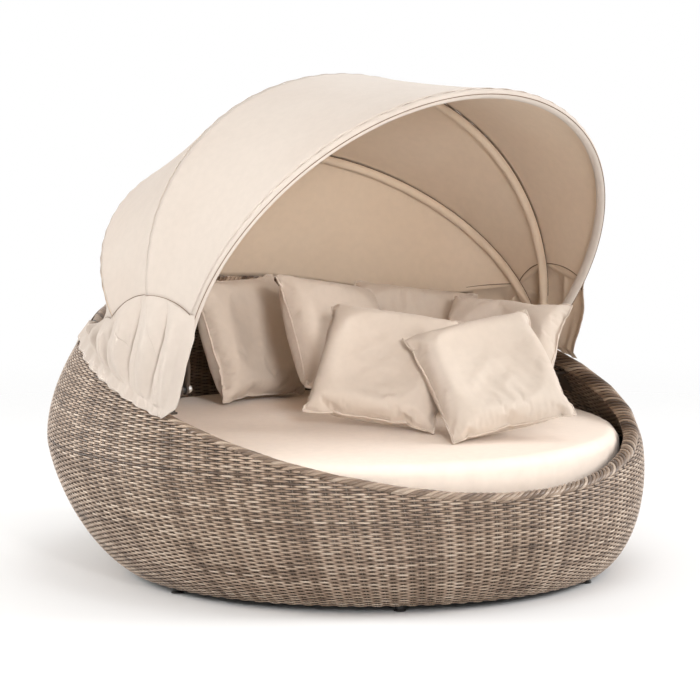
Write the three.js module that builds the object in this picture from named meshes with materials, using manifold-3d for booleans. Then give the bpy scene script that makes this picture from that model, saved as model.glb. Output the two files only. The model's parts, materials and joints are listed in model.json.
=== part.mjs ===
// Outdoor daybed with a folding canopy.
// A round woven bowl with a sloping rim holds a seat cushion and scatter cushions.
// Three tubular bows swing on a pivot at each side and carry the canopy cloth.
// Millimetres, +Z up, floor at z = 0, open front towards -Y, left and right along X.
import * as THREE from 'three';
import { mergeVertices } from 'three/addons/utils/BufferGeometryUtils.js';
import Module from 'manifold-3d';

const wasm = await Module();
wasm.setup();

// Fits
const touchGap = 0.3;
const cutOverrun = 20;

// Woven bowl: outer surface
const bellyRadius = 950;
const baseInset = 243;
const baseRadius = bellyRadius - baseInset;
const bellyHeight = 400;
const domeShare = 1.579;
const lowerFullnessShare = 1.75;
const upperFullnessShare = 1.6;
const leanShare = 0.3;
const centredHeight = 377;
const weaveBottom = 16;

// Rim: height of its top at the front, sides and back
const rimFront = 356;
const rimSide = 672;
const rimBack = 875;
const domeHeight = domeShare * (rimBack - bellyHeight);
const braidHeight = 26;
const braidWidth = 56;

// Wall of the bowl: two woven skins on a tube frame
const wallDepth = 48;
const weaveThickness = 6;
const ringTube = 22;
const ribTube = 17;
const ribCount = 8;
const wallColumns = 48;

// Seat deck and its bars
const deckTop = 312;
const deckThickness = 14;
const barWidth = 40;
const barHeight = 24;
const barPitch = 430;

// Feet
const footCount = 6;
const footRadius = 18;
const footTopRadius = 14;
const footLip = 4;
const footInset = 11.6;

// Seat cushion
const seatCentreY = -10;
const seatClearance = 8;
const seatThickness = 138;
const seatCrown = 30;
const seatEdgeRound = 46;
const seatWaist = 7;

// Scatter cushions: sewn size, stuffed depth and drawn-in sides
const cushionShare = 0.442;
const cushionSize = cushionShare * bellyRadius;
const cushionDepth = cushionSize / 3;
const cushionEdge = 9;
const cushionDrawIn = 0.04 * cushionSize;

// Canopy pivots
const pivotY = -91;
const pivotZ = 625;
const eyeInset = 219;
const thirdEyeSpan = bellyRadius - eyeInset;
const eyePitch = 21;
const eyeRadius = 17;
const eyeThickness = 7;
const boltDiameter = 12;
const boltClearance = 0.3;
const boltHeadRadius = 12;
const boltHeadHeight = 7;
const washerRadius = 14;
const washerThickness = 3;
const bushRadius = 12;
const nutRadius = 13;
const nutHeight = 14;

// Pivot brackets on the inner wall
const bracketPlate = 6;
const bracketWidth = 56;
const lugRadius = 16;
const armDrop = 64;
const flangeHeight = 70;

// Bows: span of the eyes, bulge of each side past its eye, reach from the pivot line to the
// crown, and the angle from level front
const bowTube = 20;
const neckStart = 30;
const neckEnd = 110;
const frontBow = { span: thirdEyeSpan - 2 * eyePitch, bulge: 73, reach: 1071, angle: 57.5 };
const secondBow = { span: thirdEyeSpan - eyePitch, bulge: 71, reach: 932, angle: 99.3 };
const thirdBow = { span: thirdEyeSpan, bulge: 69, reach: 917, angle: 134 };

// Canopy cloth
const clothThickness = 2.4;
const sleeveClearance = 0.8;
const sleeveWall = 4;
const seamReach = 290;
const seamGap = 2;
const clothColumns = 22;
const legColumns = 4;
const rearEndAngle = 119;
const skirtTipAngle = 72;
const skirtEndAngle = rearEndAngle - 1.2;
const skirtDrop = 60;
const skirtStandOff = 12;
const skirtFoldDepth = 10;
const skirtFolds = 6;
const valanceDrop = 62;
const valanceTop = 8;
// How far the flat faces of the weave lie inside its curve where the valance is clipped on.
const valanceSink = 0.7;
const snapRadius = 8;
const snapHeight = 4;

// Drawing steps and tolerances
const degree = Math.PI / 180;
const slopeStep = 0.5;
const turnStep = 1e-3;
const mergeTolerance = 1e-4;

// Finishes
function finish(color, roughness, metalness) {
  return new THREE.MeshStandardMaterial({ color, roughness, metalness, side: THREE.DoubleSide });
}
const rattan = finish(0x9c8973, 0.7, 0);
const darkRattan = finish(0x5d4c3e, 0.75, 0);
const powderCoat = finish(0x3b2f28, 0.5, 0.4);
const steel = finish(0xa9a7a3, 0.35, 0.9);
const canopyCloth = finish(0xe6dccd, 0.9, 0);
const seatCloth = finish(0xd9cbb9, 0.95, 0);
const scatterCloth = finish(0xdccabb, 0.95, 0);
const glide = finish(0x26221f, 0.8, 0);

const part = new THREE.Group();

function add(name, geometry, material) {
  const mesh = new THREE.Mesh(geometry, material);
  mesh.name = name;
  part.add(mesh);
}

// Solid modelling helpers

function toSolid(geometry) {
  const plain = geometry.clone();
  plain.deleteAttribute('normal');
  plain.deleteAttribute('uv');
  const merged = mergeVertices(plain, mergeTolerance);
  return new wasm.Manifold(new wasm.Mesh({
    numProp: 3,
    vertProperties: new Float32Array(merged.attributes.position.array),
    triVerts: new Uint32Array(merged.index.array),
  }));
}

function fromSolid(solid) {
  const mesh = solid.getMesh();
  const geometry = new THREE.BufferGeometry();
  geometry.setAttribute('position', new THREE.BufferAttribute(mesh.vertProperties, 3));
  geometry.setIndex(new THREE.BufferAttribute(mesh.triVerts, 1));
  geometry.computeVertexNormals();
  return geometry;
}

function largestPiece(solid) {
  return solid.decompose().sort((a, b) => b.volume() - a.volume())[0];
}

// A closed geometry with all faces turned round where the enclosed volume is negative.
function facingOut(positions, index) {
  const at = (n) => new THREE.Vector3().fromArray(positions, 3 * n);
  let volume = 0;
  for (let t = 0; t < index.length; t += 3) {
    volume += at(index[t]).dot(at(index[t + 1]).cross(at(index[t + 2])));
  }
  const faces = volume < 0 ? [...index].reverse() : index;
  const geometry = new THREE.BufferGeometry();
  geometry.setAttribute('position', new THREE.Float32BufferAttribute(positions, 3));
  geometry.setIndex(faces);
  geometry.computeVertexNormals();
  return geometry;
}

// A body from rings of points: neighbouring rings are joined, and so are the last and first.
function loopBody(rings) {
  const count = rings[0].length;
  const index = [];
  for (let i = 0; i < rings.length; i += 1) {
    const here = i * count;
    const next = ((i + 1) % rings.length) * count;
    for (let j = 0; j < count; j += 1) {
      const k = (j + 1) % count;
      index.push(here + j, here + k, next + k, here + j, next + k, next + j);
    }
  }
  return facingOut(rings.flat().flatMap((p) => [p.x, p.y, p.z]), index);
}

// A sheet of even thickness over a surface point(u, v), u and v from 0 to 1.
// A loop joins its last column to its first.
function sheetBody(point, columns, rows, thickness, isLoop) {
  const step = 1e-3;
  const front = [];
  const reverse = [];
  const columnCount = isLoop ? columns : columns + 1;
  for (let i = 0; i < columnCount; i += 1) {
    const u = i / columns;
    for (let j = 0; j <= rows; j += 1) {
      const v = j / rows;
      const u0 = isLoop ? u - step : Math.max(0, u - step);
      const u1 = isLoop ? u + step : Math.min(1, u + step);
      const alongU = point(u1, v).sub(point(u0, v));
      const alongV = point(u, Math.min(1, v + step)).sub(point(u, Math.max(0, v - step)));
      const normal = alongU.cross(alongV).normalize();
      const p = point(u, v);
      front.push(p.clone().addScaledVector(normal, thickness / 2));
      reverse.push(p.addScaledVector(normal, -thickness / 2));
    }
  }
  const line = rows + 1;
  const back = front.length;
  const index = [];
  const quad = (a, b, c, d) => index.push(a, b, c, a, c, d);
  for (let i = 0; i < columns; i += 1) {
    const here = i * line;
    const next = ((i + 1) % columnCount) * line;
    for (let j = 0; j < rows; j += 1) {
      quad(here + j, next + j, next + j + 1, here + j + 1);
      quad(back + here + j, back + here + j + 1, back + next + j + 1, back + next + j);
    }
    quad(here, back + here, back + next, next);
    quad(here + rows, next + rows, back + next + rows, back + here + rows);
  }
  const last = columns * line;
  for (let j = 0; j < rows && !isLoop; j += 1) {
    quad(j, j + 1, back + j + 1, back + j);
    quad(last + j, back + last + j, back + last + j + 1, last + j + 1);
  }
  return facingOut([...front, ...reverse].flatMap((p) => [p.x, p.y, p.z]), index);
}

function mirrored(geometry) {
  const copy = geometry.clone();
  copy.scale(-1, 1, 1);
  return facingOut(Array.from(copy.attributes.position.array), Array.from(copy.index.array));
}

const boreSides = 12;

// A round bar on the pivot line.
function pivotBar(radius, fromX, toX, sides) {
  const geometry = new THREE.CylinderGeometry(radius, radius, Math.abs(toX - fromX), sides);
  geometry.rotateZ(Math.PI / 2);
  geometry.translate((fromX + toX) / 2, pivotY, pivotZ);
  return geometry;
}

// A regular polygon whose corners lie at the given radius.
function polygon(radius, sides) {
  const points = [];
  for (let j = 0; j < sides; j += 1) {
    const turn = (2 * Math.PI * (j + 0.5)) / sides;
    points.push(new THREE.Vector2(radius * Math.cos(turn), radius * Math.sin(turn)));
  }
  return points;
}

function tubeAlong(curve, radius, steps, sides) {
  const section = new THREE.Shape(polygon(radius, sides));
  return new THREE.ExtrudeGeometry(section, { steps, bevelEnabled: false, extrudePath: curve });
}

// Shape of the bowl

function bowlRadius(z) {
  if (z < bellyHeight) {
    const t = Math.max(0, Math.min(1, (bellyHeight - z) / bellyHeight));
    const bulge = Math.pow(1 - Math.pow(t, lowerFullnessShare), 1 / lowerFullnessShare);
    return baseRadius + (bellyRadius - baseRadius) * bulge;
  }
  const u = (z - bellyHeight) / domeHeight;
  return bellyRadius * Math.pow(1 - Math.pow(u, upperFullnessShare), 1 / upperFullnessShare);
}

function bowlCentreY(z) {
  return leanShare * (z - centredHeight);
}

// Height of the rim top at an angle from the front, the same on both sides.
function rimHeight(angle) {
  const mean = (rimFront + 2 * rimSide + rimBack) / 4;
  const slope = (rimFront - rimBack) / 2;
  const dip = (rimFront + rimBack - 2 * rimSide) / 4;
  return mean + slope * Math.cos(angle) + dip * Math.cos(2 * angle);
}

function wallTop(angle) {
  return rimHeight(angle) - braidHeight;
}

// Outward normal of the leaning wall, and the upward direction along it.
function wallDirections(z, angle) {
  const slope = (bowlRadius(z + slopeStep) - bowlRadius(z - slopeStep)) / (2 * slopeStep);
  const out = new THREE.Vector3(Math.sin(angle), -Math.cos(angle), 0);
  const along = out.clone().multiplyScalar(slope);
  along.y += leanShare;
  along.z = 1;
  const outward = out.setZ(leanShare * Math.cos(angle) - slope);
  return { outward: outward.normalize(), along: along.normalize() };
}

function wallPoint(angle, z, depth, rise = 0) {
  const { outward, along } = wallDirections(z, angle);
  const r = bowlRadius(z);
  const surface = new THREE.Vector3(r * Math.sin(angle), bowlCentreY(z) - r * Math.cos(angle), z);
  return surface.addScaledVector(outward, -depth).addScaledVector(along, rise);
}

// Height on the outer surface from which the point at a depth comes out at height z.
function surfaceHeight(angle, z, depth) {
  let height = z;
  for (let i = 0; i < 8; i += 1) {
    height += z - wallPoint(angle, height, depth).z;
  }
  return height;
}

function wallPointLevel(angle, z, depth) {
  return wallPoint(angle, surfaceHeight(angle, z, depth), depth);
}

// The largest radius round (0, centreY) that stays inside the wall at a depth,
// between two heights and below the rim.
function clearRadius(fromZ, toZ, depth, centreY) {
  const samples = 24;
  let least = Infinity;
  for (let i = 0; i <= samples; i += 1) {
    const angle = (Math.PI * i) / samples;
    for (let j = 0; j <= 4; j += 1) {
      const z = fromZ + ((toZ - fromZ) * j) / 4;
      if (z <= rimHeight(angle)) {
        const p = wallPointLevel(angle, z, depth);
        least = Math.min(least, Math.hypot(p.x, p.y - centreY));
      }
    }
  }
  return least * Math.cos(Math.PI / wallColumns);
}

// Woven skins and rim

// Height on the wall for a share of the way up, with closer rows in the round base.
function wallHeight(bottom, top, share) {
  return bottom + (top - bottom) * Math.pow(share, 1.35);
}

function wovenSkin(depth, bottom, rows, thickness) {
  const point = (u, v) => {
    const angle = 2 * Math.PI * u;
    const from = surfaceHeight(angle, bottom, depth);
    return wallPoint(angle, wallHeight(from, wallTop(angle), v), depth);
  };
  return sheetBody(point, wallColumns, rows, thickness, true);
}

const innerSkinDepth = wallDepth - weaveThickness / 2;
const innerSkinBottom = deckTop + weaveThickness / 3;
const innerSkinRows = 4;

// A loop that follows the rim. The section is given across and along the wall,
// from the middle of the wall's top edge.
function rimLoop(section) {
  const rings = [];
  for (let i = 0; i < wallColumns; i += 1) {
    const angle = (2 * Math.PI * i) / wallColumns;
    rings.push(section.map((s) => wallPoint(angle, wallTop(angle), wallDepth / 2 - s.x, s.y)));
  }
  return loopBody(rings);
}

const tubeSides = 8;
const ringSides = 6;
const rimRingDrop = ringTube / 2 + 2 * touchGap;

function rimRing(radius) {
  return rimLoop(polygon(radius, ringSides).map((s) => s.setY(s.y - rimRingDrop)));
}

// Rounded border that sits on both skins.
function rimBraid() {
  const shares = [[0.43, 0], [0.5, 0.35], [0.43, 0.75], [0.2, 1]];
  const right = shares.map(([x, y]) => new THREE.Vector2(x * braidWidth, y * braidHeight));
  const left = right.map((s) => new THREE.Vector2(-s.x, s.y)).reverse();
  return rimLoop([...right, ...left].map((s) => s.setY(s.y + 2 * touchGap)));
}

// Frame of the bowl

function levelRing(radius, centreY, z, tubeRadius) {
  const profile = polygon(tubeRadius, ringSides).map((s) => s.setX(s.x + radius));
  profile.push(profile[0].clone());
  const geometry = new THREE.LatheGeometry(profile, wallColumns);
  geometry.rotateX(Math.PI / 2);
  geometry.translate(0, centreY, z);
  return geometry;
}

const baseRingPlace = wallPoint(Math.PI / 2, weaveBottom, wallDepth / 2);
const baseRingRadius = baseRingPlace.x;
const baseRingY = baseRingPlace.y;
const baseRingZ = baseRingPlace.z;
const deckBottom = deckTop - deckThickness;
const seatRingZ = deckBottom - touchGap - ringTube / 2;
const seatRingY = bowlCentreY(seatRingZ);
const ribInnerDepth = wallDepth / 2 + ribTube / 2 + touchGap;
const seatRingLow = seatRingZ - ringTube / 2;
const seatRingOuter = clearRadius(seatRingLow, deckBottom, ribInnerDepth, seatRingY);
const seatRingRadius = seatRingOuter - ringTube / 2;

class RibCurve extends THREE.Curve {
  constructor(angle) {
    super();
    this.angle = angle;
    this.rimEnd = wallPoint(angle, wallTop(angle), wallDepth / 2, -rimRingDrop);
    const x = baseRingRadius * Math.sin(angle);
    this.baseEnd = new THREE.Vector3(x, baseRingY - baseRingRadius * Math.cos(angle), baseRingZ);
  }

  getPoint(t, target = new THREE.Vector3()) {
    if (t <= 0) return target.copy(this.baseEnd);
    if (t >= 1) return target.copy(this.rimEnd);
    const z = this.baseEnd.z + (this.rimEnd.z - this.baseEnd.z) * t;
    return target.copy(wallPointLevel(this.angle, z, wallDepth / 2));
  }
}

// A rib runs from the base ring to the rim ring and is cut round both.
function rib(angle, ringCuts) {
  const whole = toSolid(tubeAlong(new RibCurve(angle), ribTube / 2, 12, 6));
  return fromSolid(largestPiece(whole.subtract(ringCuts)));
}

function addFrame() {
  const ringRadius = ringTube / 2;
  add('base_ring', levelRing(baseRingRadius, baseRingY, baseRingZ, ringRadius), powderCoat);
  add('seat_ring', levelRing(seatRingRadius, seatRingY, seatRingZ, ringRadius), powderCoat);
  add('rim_ring', rimRing(ringRadius), powderCoat);
  const cutRadius = ringRadius + 2 * touchGap;
  const baseCut = toSolid(levelRing(baseRingRadius, baseRingY, baseRingZ, cutRadius));
  const ringCuts = baseCut.add(toSolid(rimRing(cutRadius)));
  for (let i = 0; i < ribCount; i += 1) {
    add(`rib_${i + 1}`, rib((2 * Math.PI * (i + 0.5)) / ribCount, ringCuts), powderCoat);
  }
}

function addDeck() {
  const deckY = bowlCentreY(deckTop);
  const radius = clearRadius(deckBottom, deckTop, ribInnerDepth, deckY);
  const deck = new THREE.CylinderGeometry(radius, radius, deckThickness, wallColumns);
  deck.rotateX(Math.PI / 2);
  deck.translate(0, deckY, (deckBottom + deckTop) / 2);
  add('seat_deck', deck, darkRattan);
  const inside = (seatRingRadius - ringTube / 2) * Math.cos(Math.PI / wallColumns) - touchGap;
  for (let i = -1; i <= 1; i += 1) {
    const half = Math.sqrt(inside ** 2 - (Math.abs(i) * barPitch + barWidth / 2) ** 2);
    const bar = new THREE.BoxGeometry(2 * half, barWidth, barHeight);
    bar.translate(0, seatRingY + i * barPitch, deckBottom - touchGap - barHeight / 2);
    add(`deck_bar_${i + 2}`, bar, powderCoat);
  }
}

function addFeet() {
  const top = baseRingZ - ringTube / 2 - touchGap;
  const profile = [
    new THREE.Vector2(0, 0),
    new THREE.Vector2(footRadius, 0),
    new THREE.Vector2(footRadius, footLip),
    new THREE.Vector2(footTopRadius, footLip + (footRadius - footTopRadius)),
    new THREE.Vector2(footTopRadius, top),
    new THREE.Vector2(0, top),
  ];
  const circle = baseRingRadius - footInset;
  for (let i = 0; i < footCount; i += 1) {
    const angle = (2 * Math.PI * (i + 0.5)) / footCount;
    const foot = new THREE.LatheGeometry(profile, 12);
    foot.rotateX(Math.PI / 2);
    foot.translate(circle * Math.sin(angle), baseRingY - circle * Math.cos(angle), 0);
    add(`foot_${i + 1}`, foot, glide);
  }
}

// Canopy bows

// A bow is an oval arc in its own plane. Arch is its height over its widest place,
// and shoulder is how far that place lies from the pivot line.
function bowShape(bow) {
  const halfWidth = bow.span + bow.bulge;
  const ratio = Math.sqrt(1 - (bow.span / halfWidth) ** 2);
  const arch = bow.reach / (1 + ratio);
  return { halfWidth, arch, shoulder: ratio * arch };
}

// A point at a distance from the pivot line, on a plane turned up from level front.
function pivotPoint(x, reach, angle) {
  const a = angle * degree;
  return new THREE.Vector3(x, pivotY - reach * Math.cos(a), pivotZ + reach * Math.sin(a));
}

// A point on the middle line of a bow. Each neck runs straight out from its eye.
function bowPoint(bow, turn) {
  const { halfWidth, arch, shoulder } = bowShape(bow);
  const reach = shoulder + arch * Math.cos(turn);
  const share = THREE.MathUtils.smoothstep(reach, neckStart, neckEnd);
  const eyeX = Math.sign(turn) * bow.span;
  return pivotPoint(eyeX + (halfWidth * Math.sin(turn) - eyeX) * share, reach, bow.angle);
}

function bowTangent(bow, turn) {
  return bowPoint(bow, turn + turnStep).sub(bowPoint(bow, turn - turnStep)).normalize();
}

function turnAtReach(bow, reach) {
  const { arch, shoulder } = bowShape(bow);
  return Math.acos((reach - shoulder) / arch);
}

// Turn at a share of the cloth's width, from the left seam to the right one.
function seamTurn(bow, share) {
  return (2 * share - 1) * turnAtReach(bow, seamReach);
}

// The bow's steps over the cloth are those of the cloth itself.
class BowCurve extends THREE.Curve {
  constructor(bow) {
    super();
    this.bow = bow;
    this.end = turnAtReach(bow, eyeRadius * 0.7);
    this.seam = turnAtReach(bow, seamReach);
    this.leg = legColumns / (2 * legColumns + clothColumns);
  }

  getPoint(t, target = new THREE.Vector3()) {
    const fromEnd = Math.min(t, 1 - t);
    const side = t < 0.5 ? -1 : 1;
    if (fromEnd < this.leg) {
      const turn = this.end + (this.seam - this.end) * (fromEnd / this.leg);
      return target.copy(bowPoint(this.bow, side * turn));
    }
    const share = (t - this.leg) / (1 - 2 * this.leg);
    return target.copy(bowPoint(this.bow, seamTurn(this.bow, share)));
  }

  getPointAt(t, target) {
    return this.getPoint(t, target);
  }

  getTangentAt(t, target) {
    return this.getTangent(t, target);
  }
}

function bowSolid(bow) {
  const steps = 2 * legColumns + clothColumns;
  let solid = toSolid(tubeAlong(new BowCurve(bow), bowTube / 2, steps, tubeSides));
  for (const side of [-1, 1]) {
    const middle = side * bow.span;
    const ends = [middle - cutOverrun, middle + cutOverrun];
    const clear = pivotBar(eyeRadius - touchGap, ...ends, 20);
    const eye = pivotBar(eyeRadius, middle - eyeThickness / 2, middle + eyeThickness / 2, 20);
    const bore = pivotBar(boltDiameter / 2 + boltClearance, ...ends, boreSides);
    solid = solid.subtract(toSolid(clear)).add(toSolid(eye)).subtract(toSolid(bore));
  }
  return fromSolid(solid);
}

function addBows() {
  add('front_bow', bowSolid(frontBow), powderCoat);
  add('second_bow', bowSolid(secondBow), powderCoat);
  add('third_bow', bowSolid(thirdBow), powderCoat);
}

// Pivot hardware, drawn at the right side and mirrored for the left

const halfEye = eyeThickness / 2;
const stackOuter = thirdBow.span + halfEye;
const stackInner = frontBow.span - halfEye;
const lugInner = stackOuter + washerThickness + 2 * touchGap;
const lugOuter = lugInner + bracketPlate;
const nutFace = stackInner - washerThickness - 2 * touchGap;
const nutCavity = nutHeight * 0.6;

function bored(geometry, fromX, toX) {
  const bore = pivotBar(boltDiameter / 2 + boltClearance, fromX, toX, boreSides);
  return toSolid(geometry).subtract(toSolid(bore));
}

function washer(fromX, toX, radius) {
  return fromSolid(bored(pivotBar(radius, fromX, toX, 16), fromX - cutOverrun, toX + cutOverrun));
}

function pivotBolt() {
  const headInner = lugOuter + touchGap;
  const headOuter = headInner + boltHeadHeight;
  const shank = pivotBar(boltDiameter / 2, nutFace - nutCavity, headOuter, boreSides);
  const head = pivotBar(boltHeadRadius, headInner, headOuter, 6);
  return fromSolid(toSolid(shank).add(toSolid(head)));
}

function domeNut() {
  const shares = [[0, 0], [1, 0], [1, 0.45], [0.8, 0.8], [0.4, 1], [0, 1]];
  const profile = shares.map(([x, y]) => new THREE.Vector2(x * nutRadius, y * nutHeight));
  const nut = new THREE.LatheGeometry(profile, 16);
  nut.rotateZ(Math.PI / 2);
  nut.translate(nutFace - touchGap, pivotY, pivotZ);
  return fromSolid(bored(nut, nutFace - nutCavity - touchGap, nutFace + cutOverrun));
}

// Where the middle of the inner skin passes the pivot, at a height.
function wallBesidePivot(z) {
  const angle = Math.PI / 2 - Math.asin((bowlCentreY(z) - pivotY) / bowlRadius(z));
  return wallPointLevel(angle, z, innerSkinDepth).x;
}

// Cranked bracket: a flange on the leaning wall, an arm and an upright lug.
function pivotBracket() {
  const armTop = pivotZ - armDrop;
  const armBottom = armTop - bracketPlate;
  const bottom = armTop - flangeHeight;
  const flange = bracketPlate + weaveThickness;
  const outline = [
    [wallBesidePivot(armTop), armTop],
    [lugOuter, armTop],
    [lugOuter, pivotZ],
    [lugInner, pivotZ],
    [lugInner, armBottom],
    [wallBesidePivot(armBottom) - flange, armBottom],
    [wallBesidePivot(bottom) - flange, bottom],
    [wallBesidePivot(bottom), bottom],
  ];
  const shape = new THREE.Shape(outline.map(([x, z]) => new THREE.Vector2(x, z)));
  const body = new THREE.ExtrudeGeometry(shape, { depth: bracketWidth, bevelEnabled: false });
  body.rotateX(Math.PI / 2);
  body.translate(0, pivotY + bracketWidth / 2, 0);
  let solid = toSolid(body);
  const cheekHeight = pivotZ - armTop + lugRadius;
  const cheek = new THREE.BoxGeometry(3 * bracketPlate, bracketWidth, cheekHeight);
  for (const side of [-1, 1]) {
    const waste = cheek.clone();
    const y = pivotY + side * (lugRadius + bracketWidth / 2);
    waste.translate((lugInner + lugOuter) / 2, y, armTop + cheekHeight / 2);
    solid = solid.subtract(toSolid(waste));
  }
  const lug = toSolid(pivotBar(lugRadius, lugInner, lugOuter, 24));
  const bore = toSolid(pivotBar(boltDiameter / 2 + boltClearance, lugInner - cutOverrun,
    lugOuter + cutOverrun, boreSides));
  const wall = wovenSkin(innerSkinDepth, innerSkinBottom, innerSkinRows,
    weaveThickness + 2 * touchGap);
  return fromSolid(largestPiece(solid.add(lug).subtract(bore).subtract(toSolid(wall))));
}

function addPivotHardware() {
  const washerInner = nutFace + touchGap;
  const washerOuter = stackOuter + touchGap;
  const bush = (inner, outer) => washer(inner.span + halfEye + touchGap,
    outer.span - halfEye - touchGap, bushRadius);
  const pieces = {
    pivot_bracket: [pivotBracket(), powderCoat],
    pivot_bolt: [pivotBolt(), steel],
    pivot_nut: [domeNut(), steel],
    outer_washer: [washer(washerOuter, washerOuter + washerThickness, washerRadius), steel],
    inner_washer: [washer(washerInner, washerInner + washerThickness, washerRadius), steel],
    outer_bush: [bush(secondBow, thirdBow), glide],
    inner_bush: [bush(frontBow, secondBow), glide],
  };
  for (const [name, [geometry, material]] of Object.entries(pieces)) {
    add(`${name}_right`, geometry, material);
    add(`${name}_left`, mirrored(geometry), material);
  }
}

// Canopy cloth

const sleeveSides = 6;
const sleeveBore = bowTube / 2 + sleeveClearance;
const sleeveOuter = sleeveBore + sleeveWall;
const clothStand = sleeveOuter + touchGap + clothThickness / 2;
const skirtStand = clothStand + clothThickness + 2 * touchGap;

// A sewn tunnel round the cloth-covered stretch of a bow.
function sleeve(bow) {
  const across = pivotPoint(0, 1, bow.angle - 90).sub(pivotPoint(0, 0, 0));
  const rings = (radius) => {
    const set = [];
    for (let i = 0; i <= clothColumns; i += 1) {
      const turn = seamTurn(bow, i / clothColumns);
      const centre = bowPoint(bow, turn);
      const out = bowTangent(bow, turn).cross(across).normalize();
      set.push(polygon(radius, sleeveSides).map((s) => centre.clone()
        .addScaledVector(out, s.x)
        .addScaledVector(across, s.y)));
    }
    return set;
  };
  const inner = rings(sleeveBore / Math.cos(Math.PI / sleeveSides));
  return loopBody([...rings(sleeveOuter), ...inner.reverse()]);
}

// The offset that stands a line from a to b off its bow, away from the inside of the canopy.
function standOff(a, b, edge) {
  const normal = b.clone().sub(a).cross(edge).normalize();
  const fromPivot = a.clone().sub(new THREE.Vector3(0, pivotY, pivotZ));
  return normal.multiplyScalar(normal.dot(fromPivot) < 0 ? -clothStand : clothStand);
}

// Cloth drawn tight between two bows, from seam to seam.
function panelBetween(first, second) {
  const point = (u, v) => {
    const turn = seamTurn(first, u);
    const a = bowPoint(first, turn);
    const b = bowPoint(second, seamTurn(second, u));
    const off = standOff(a, b, bowTangent(first, turn));
    const edge = seamGap / 2 / a.distanceTo(b);
    return a.lerp(b, edge + (1 - 2 * edge) * v).add(off);
  };
  return sheetBody(point, clothColumns, 4, clothThickness, false);
}

// A point just above the middle of the rim's braid, with room for a number of cloths.
function rimSeat(angle, layers) {
  const rise = braidHeight + 3 * touchGap + layers * clothThickness;
  return wallPoint(angle, wallTop(angle), wallDepth / 2, rise);
}

// Cloth from the third bow down to the rim at the back.
function rearPanel() {
  const rimEnd = rearEndAngle * degree;
  const point = (u, v) => {
    const turn = seamTurn(thirdBow, u);
    const a = bowPoint(thirdBow, turn);
    const b = rimSeat(Math.PI - (2 * u - 1) * (Math.PI - rimEnd), 1);
    const off = standOff(a, b, bowTangent(thirdBow, turn));
    const edge = seamGap / 2 / a.distanceTo(b);
    return a.add(off).lerp(b, edge + (1 - edge) * v);
  };
  return sheetBody(point, clothColumns, 5, clothThickness, false);
}

// Points along the upper edge of the right skirt, just under the seams of the panels.
function skirtTop(share) {
  const stops = [frontBow, secondBow, thirdBow].map((bow) => {
    const p = bowPoint(bow, turnAtReach(bow, seamReach - 3 * seamGap));
    return p.setX(p.x + skirtStand);
  });
  stops.push(rimSeat(skirtEndAngle * degree, 2.2));
  const lengths = [0, 1, 2].map((i) => stops[i].distanceTo(stops[i + 1]));
  let rest = share * (lengths[0] + lengths[1] + lengths[2]);
  let i = 0;
  while (i < 2 && rest > lengths[i]) {
    rest -= lengths[i];
    i += 1;
  }
  return stops[i].lerp(stops[i + 1], Math.min(1, rest / lengths[i]));
}

// The right skirt hangs from its seam over the rim to the outside of the bowl,
// in folds that fan out from the tip by the pivot.
function skirtPoint(u, v) {
  const sweep = skirtEndAngle - skirtTipAngle;
  const angle = (skirtTipAngle + sweep * Math.pow(u, 1.5)) * degree;
  const overhang = (braidWidth - wallDepth) / 2 + skirtStandOff;
  const corner = wallPoint(angle, wallTop(angle), -overhang, braidHeight);
  const hemRise = braidHeight - skirtDrop * (0.3 + 0.7 * u);
  const hem = wallPoint(angle, wallTop(angle), -overhang, hemRise);
  const turnOver = 0.8;
  if (v > turnOver) return corner.lerp(hem, (v - turnOver) / (1 - turnOver));
  const share = v / turnOver;
  const p = skirtTop(u).lerp(corner, share);
  const swell = Math.sin(Math.PI * share);
  p.x += swell * (skirtStandOff + skirtFoldDepth * Math.sin(2 * Math.PI * skirtFolds * u));
  return p;
}

// A band of cloth round the back of the bowl, under the braid.
function rearValance() {
  const columns = 16;
  const start = Math.PI - (columns * Math.PI) / wallColumns;
  const point = (u, v) => {
    const angle = start + 2 * (Math.PI - start) * u;
    const z = wallTop(angle) - valanceTop - (valanceDrop - valanceTop) * v;
    return wallPoint(angle, z, valanceSink - touchGap - clothThickness / 2);
  };
  return sheetBody(point, columns, 2, clothThickness, false);
}

// Press stud at the front top corner of the right skirt.
function snap() {
  const [u, v] = [0.02, 0.06];
  const p = skirtPoint(u, v);
  const alongU = skirtPoint(u + turnStep, v).sub(p);
  const normal = alongU.cross(skirtPoint(u, v + turnStep).sub(p)).normalize();
  if (normal.x < 0) normal.negate();
  const stud = new THREE.CylinderGeometry(snapRadius * 0.7, snapRadius, snapHeight, 12);
  const up = new THREE.Vector3(0, 1, 0);
  stud.applyQuaternion(new THREE.Quaternion().setFromUnitVectors(up, normal));
  p.addScaledVector(normal, clothThickness / 2 + 3 * touchGap + snapHeight / 2);
  stud.translate(p.x, p.y, p.z);
  return fromSolid(toSolid(stud));
}

function addCanopy() {
  add('front_sleeve', sleeve(frontBow), canopyCloth);
  add('second_sleeve', sleeve(secondBow), canopyCloth);
  add('third_sleeve', sleeve(thirdBow), canopyCloth);
  add('front_panel', panelBetween(frontBow, secondBow), canopyCloth);
  add('middle_panel', panelBetween(secondBow, thirdBow), canopyCloth);
  add('rear_panel', rearPanel(), canopyCloth);
  const skirt = sheetBody(skirtPoint, 30, 5, clothThickness, false);
  add('right_skirt', skirt, canopyCloth);
  add('left_skirt', mirrored(skirt), canopyCloth);
  const stud = snap();
  add('right_snap', stud, steel);
  add('left_snap', mirrored(stud), steel);
  add('rear_valance', rearValance(), canopyCloth);
}

// Cushions

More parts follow.
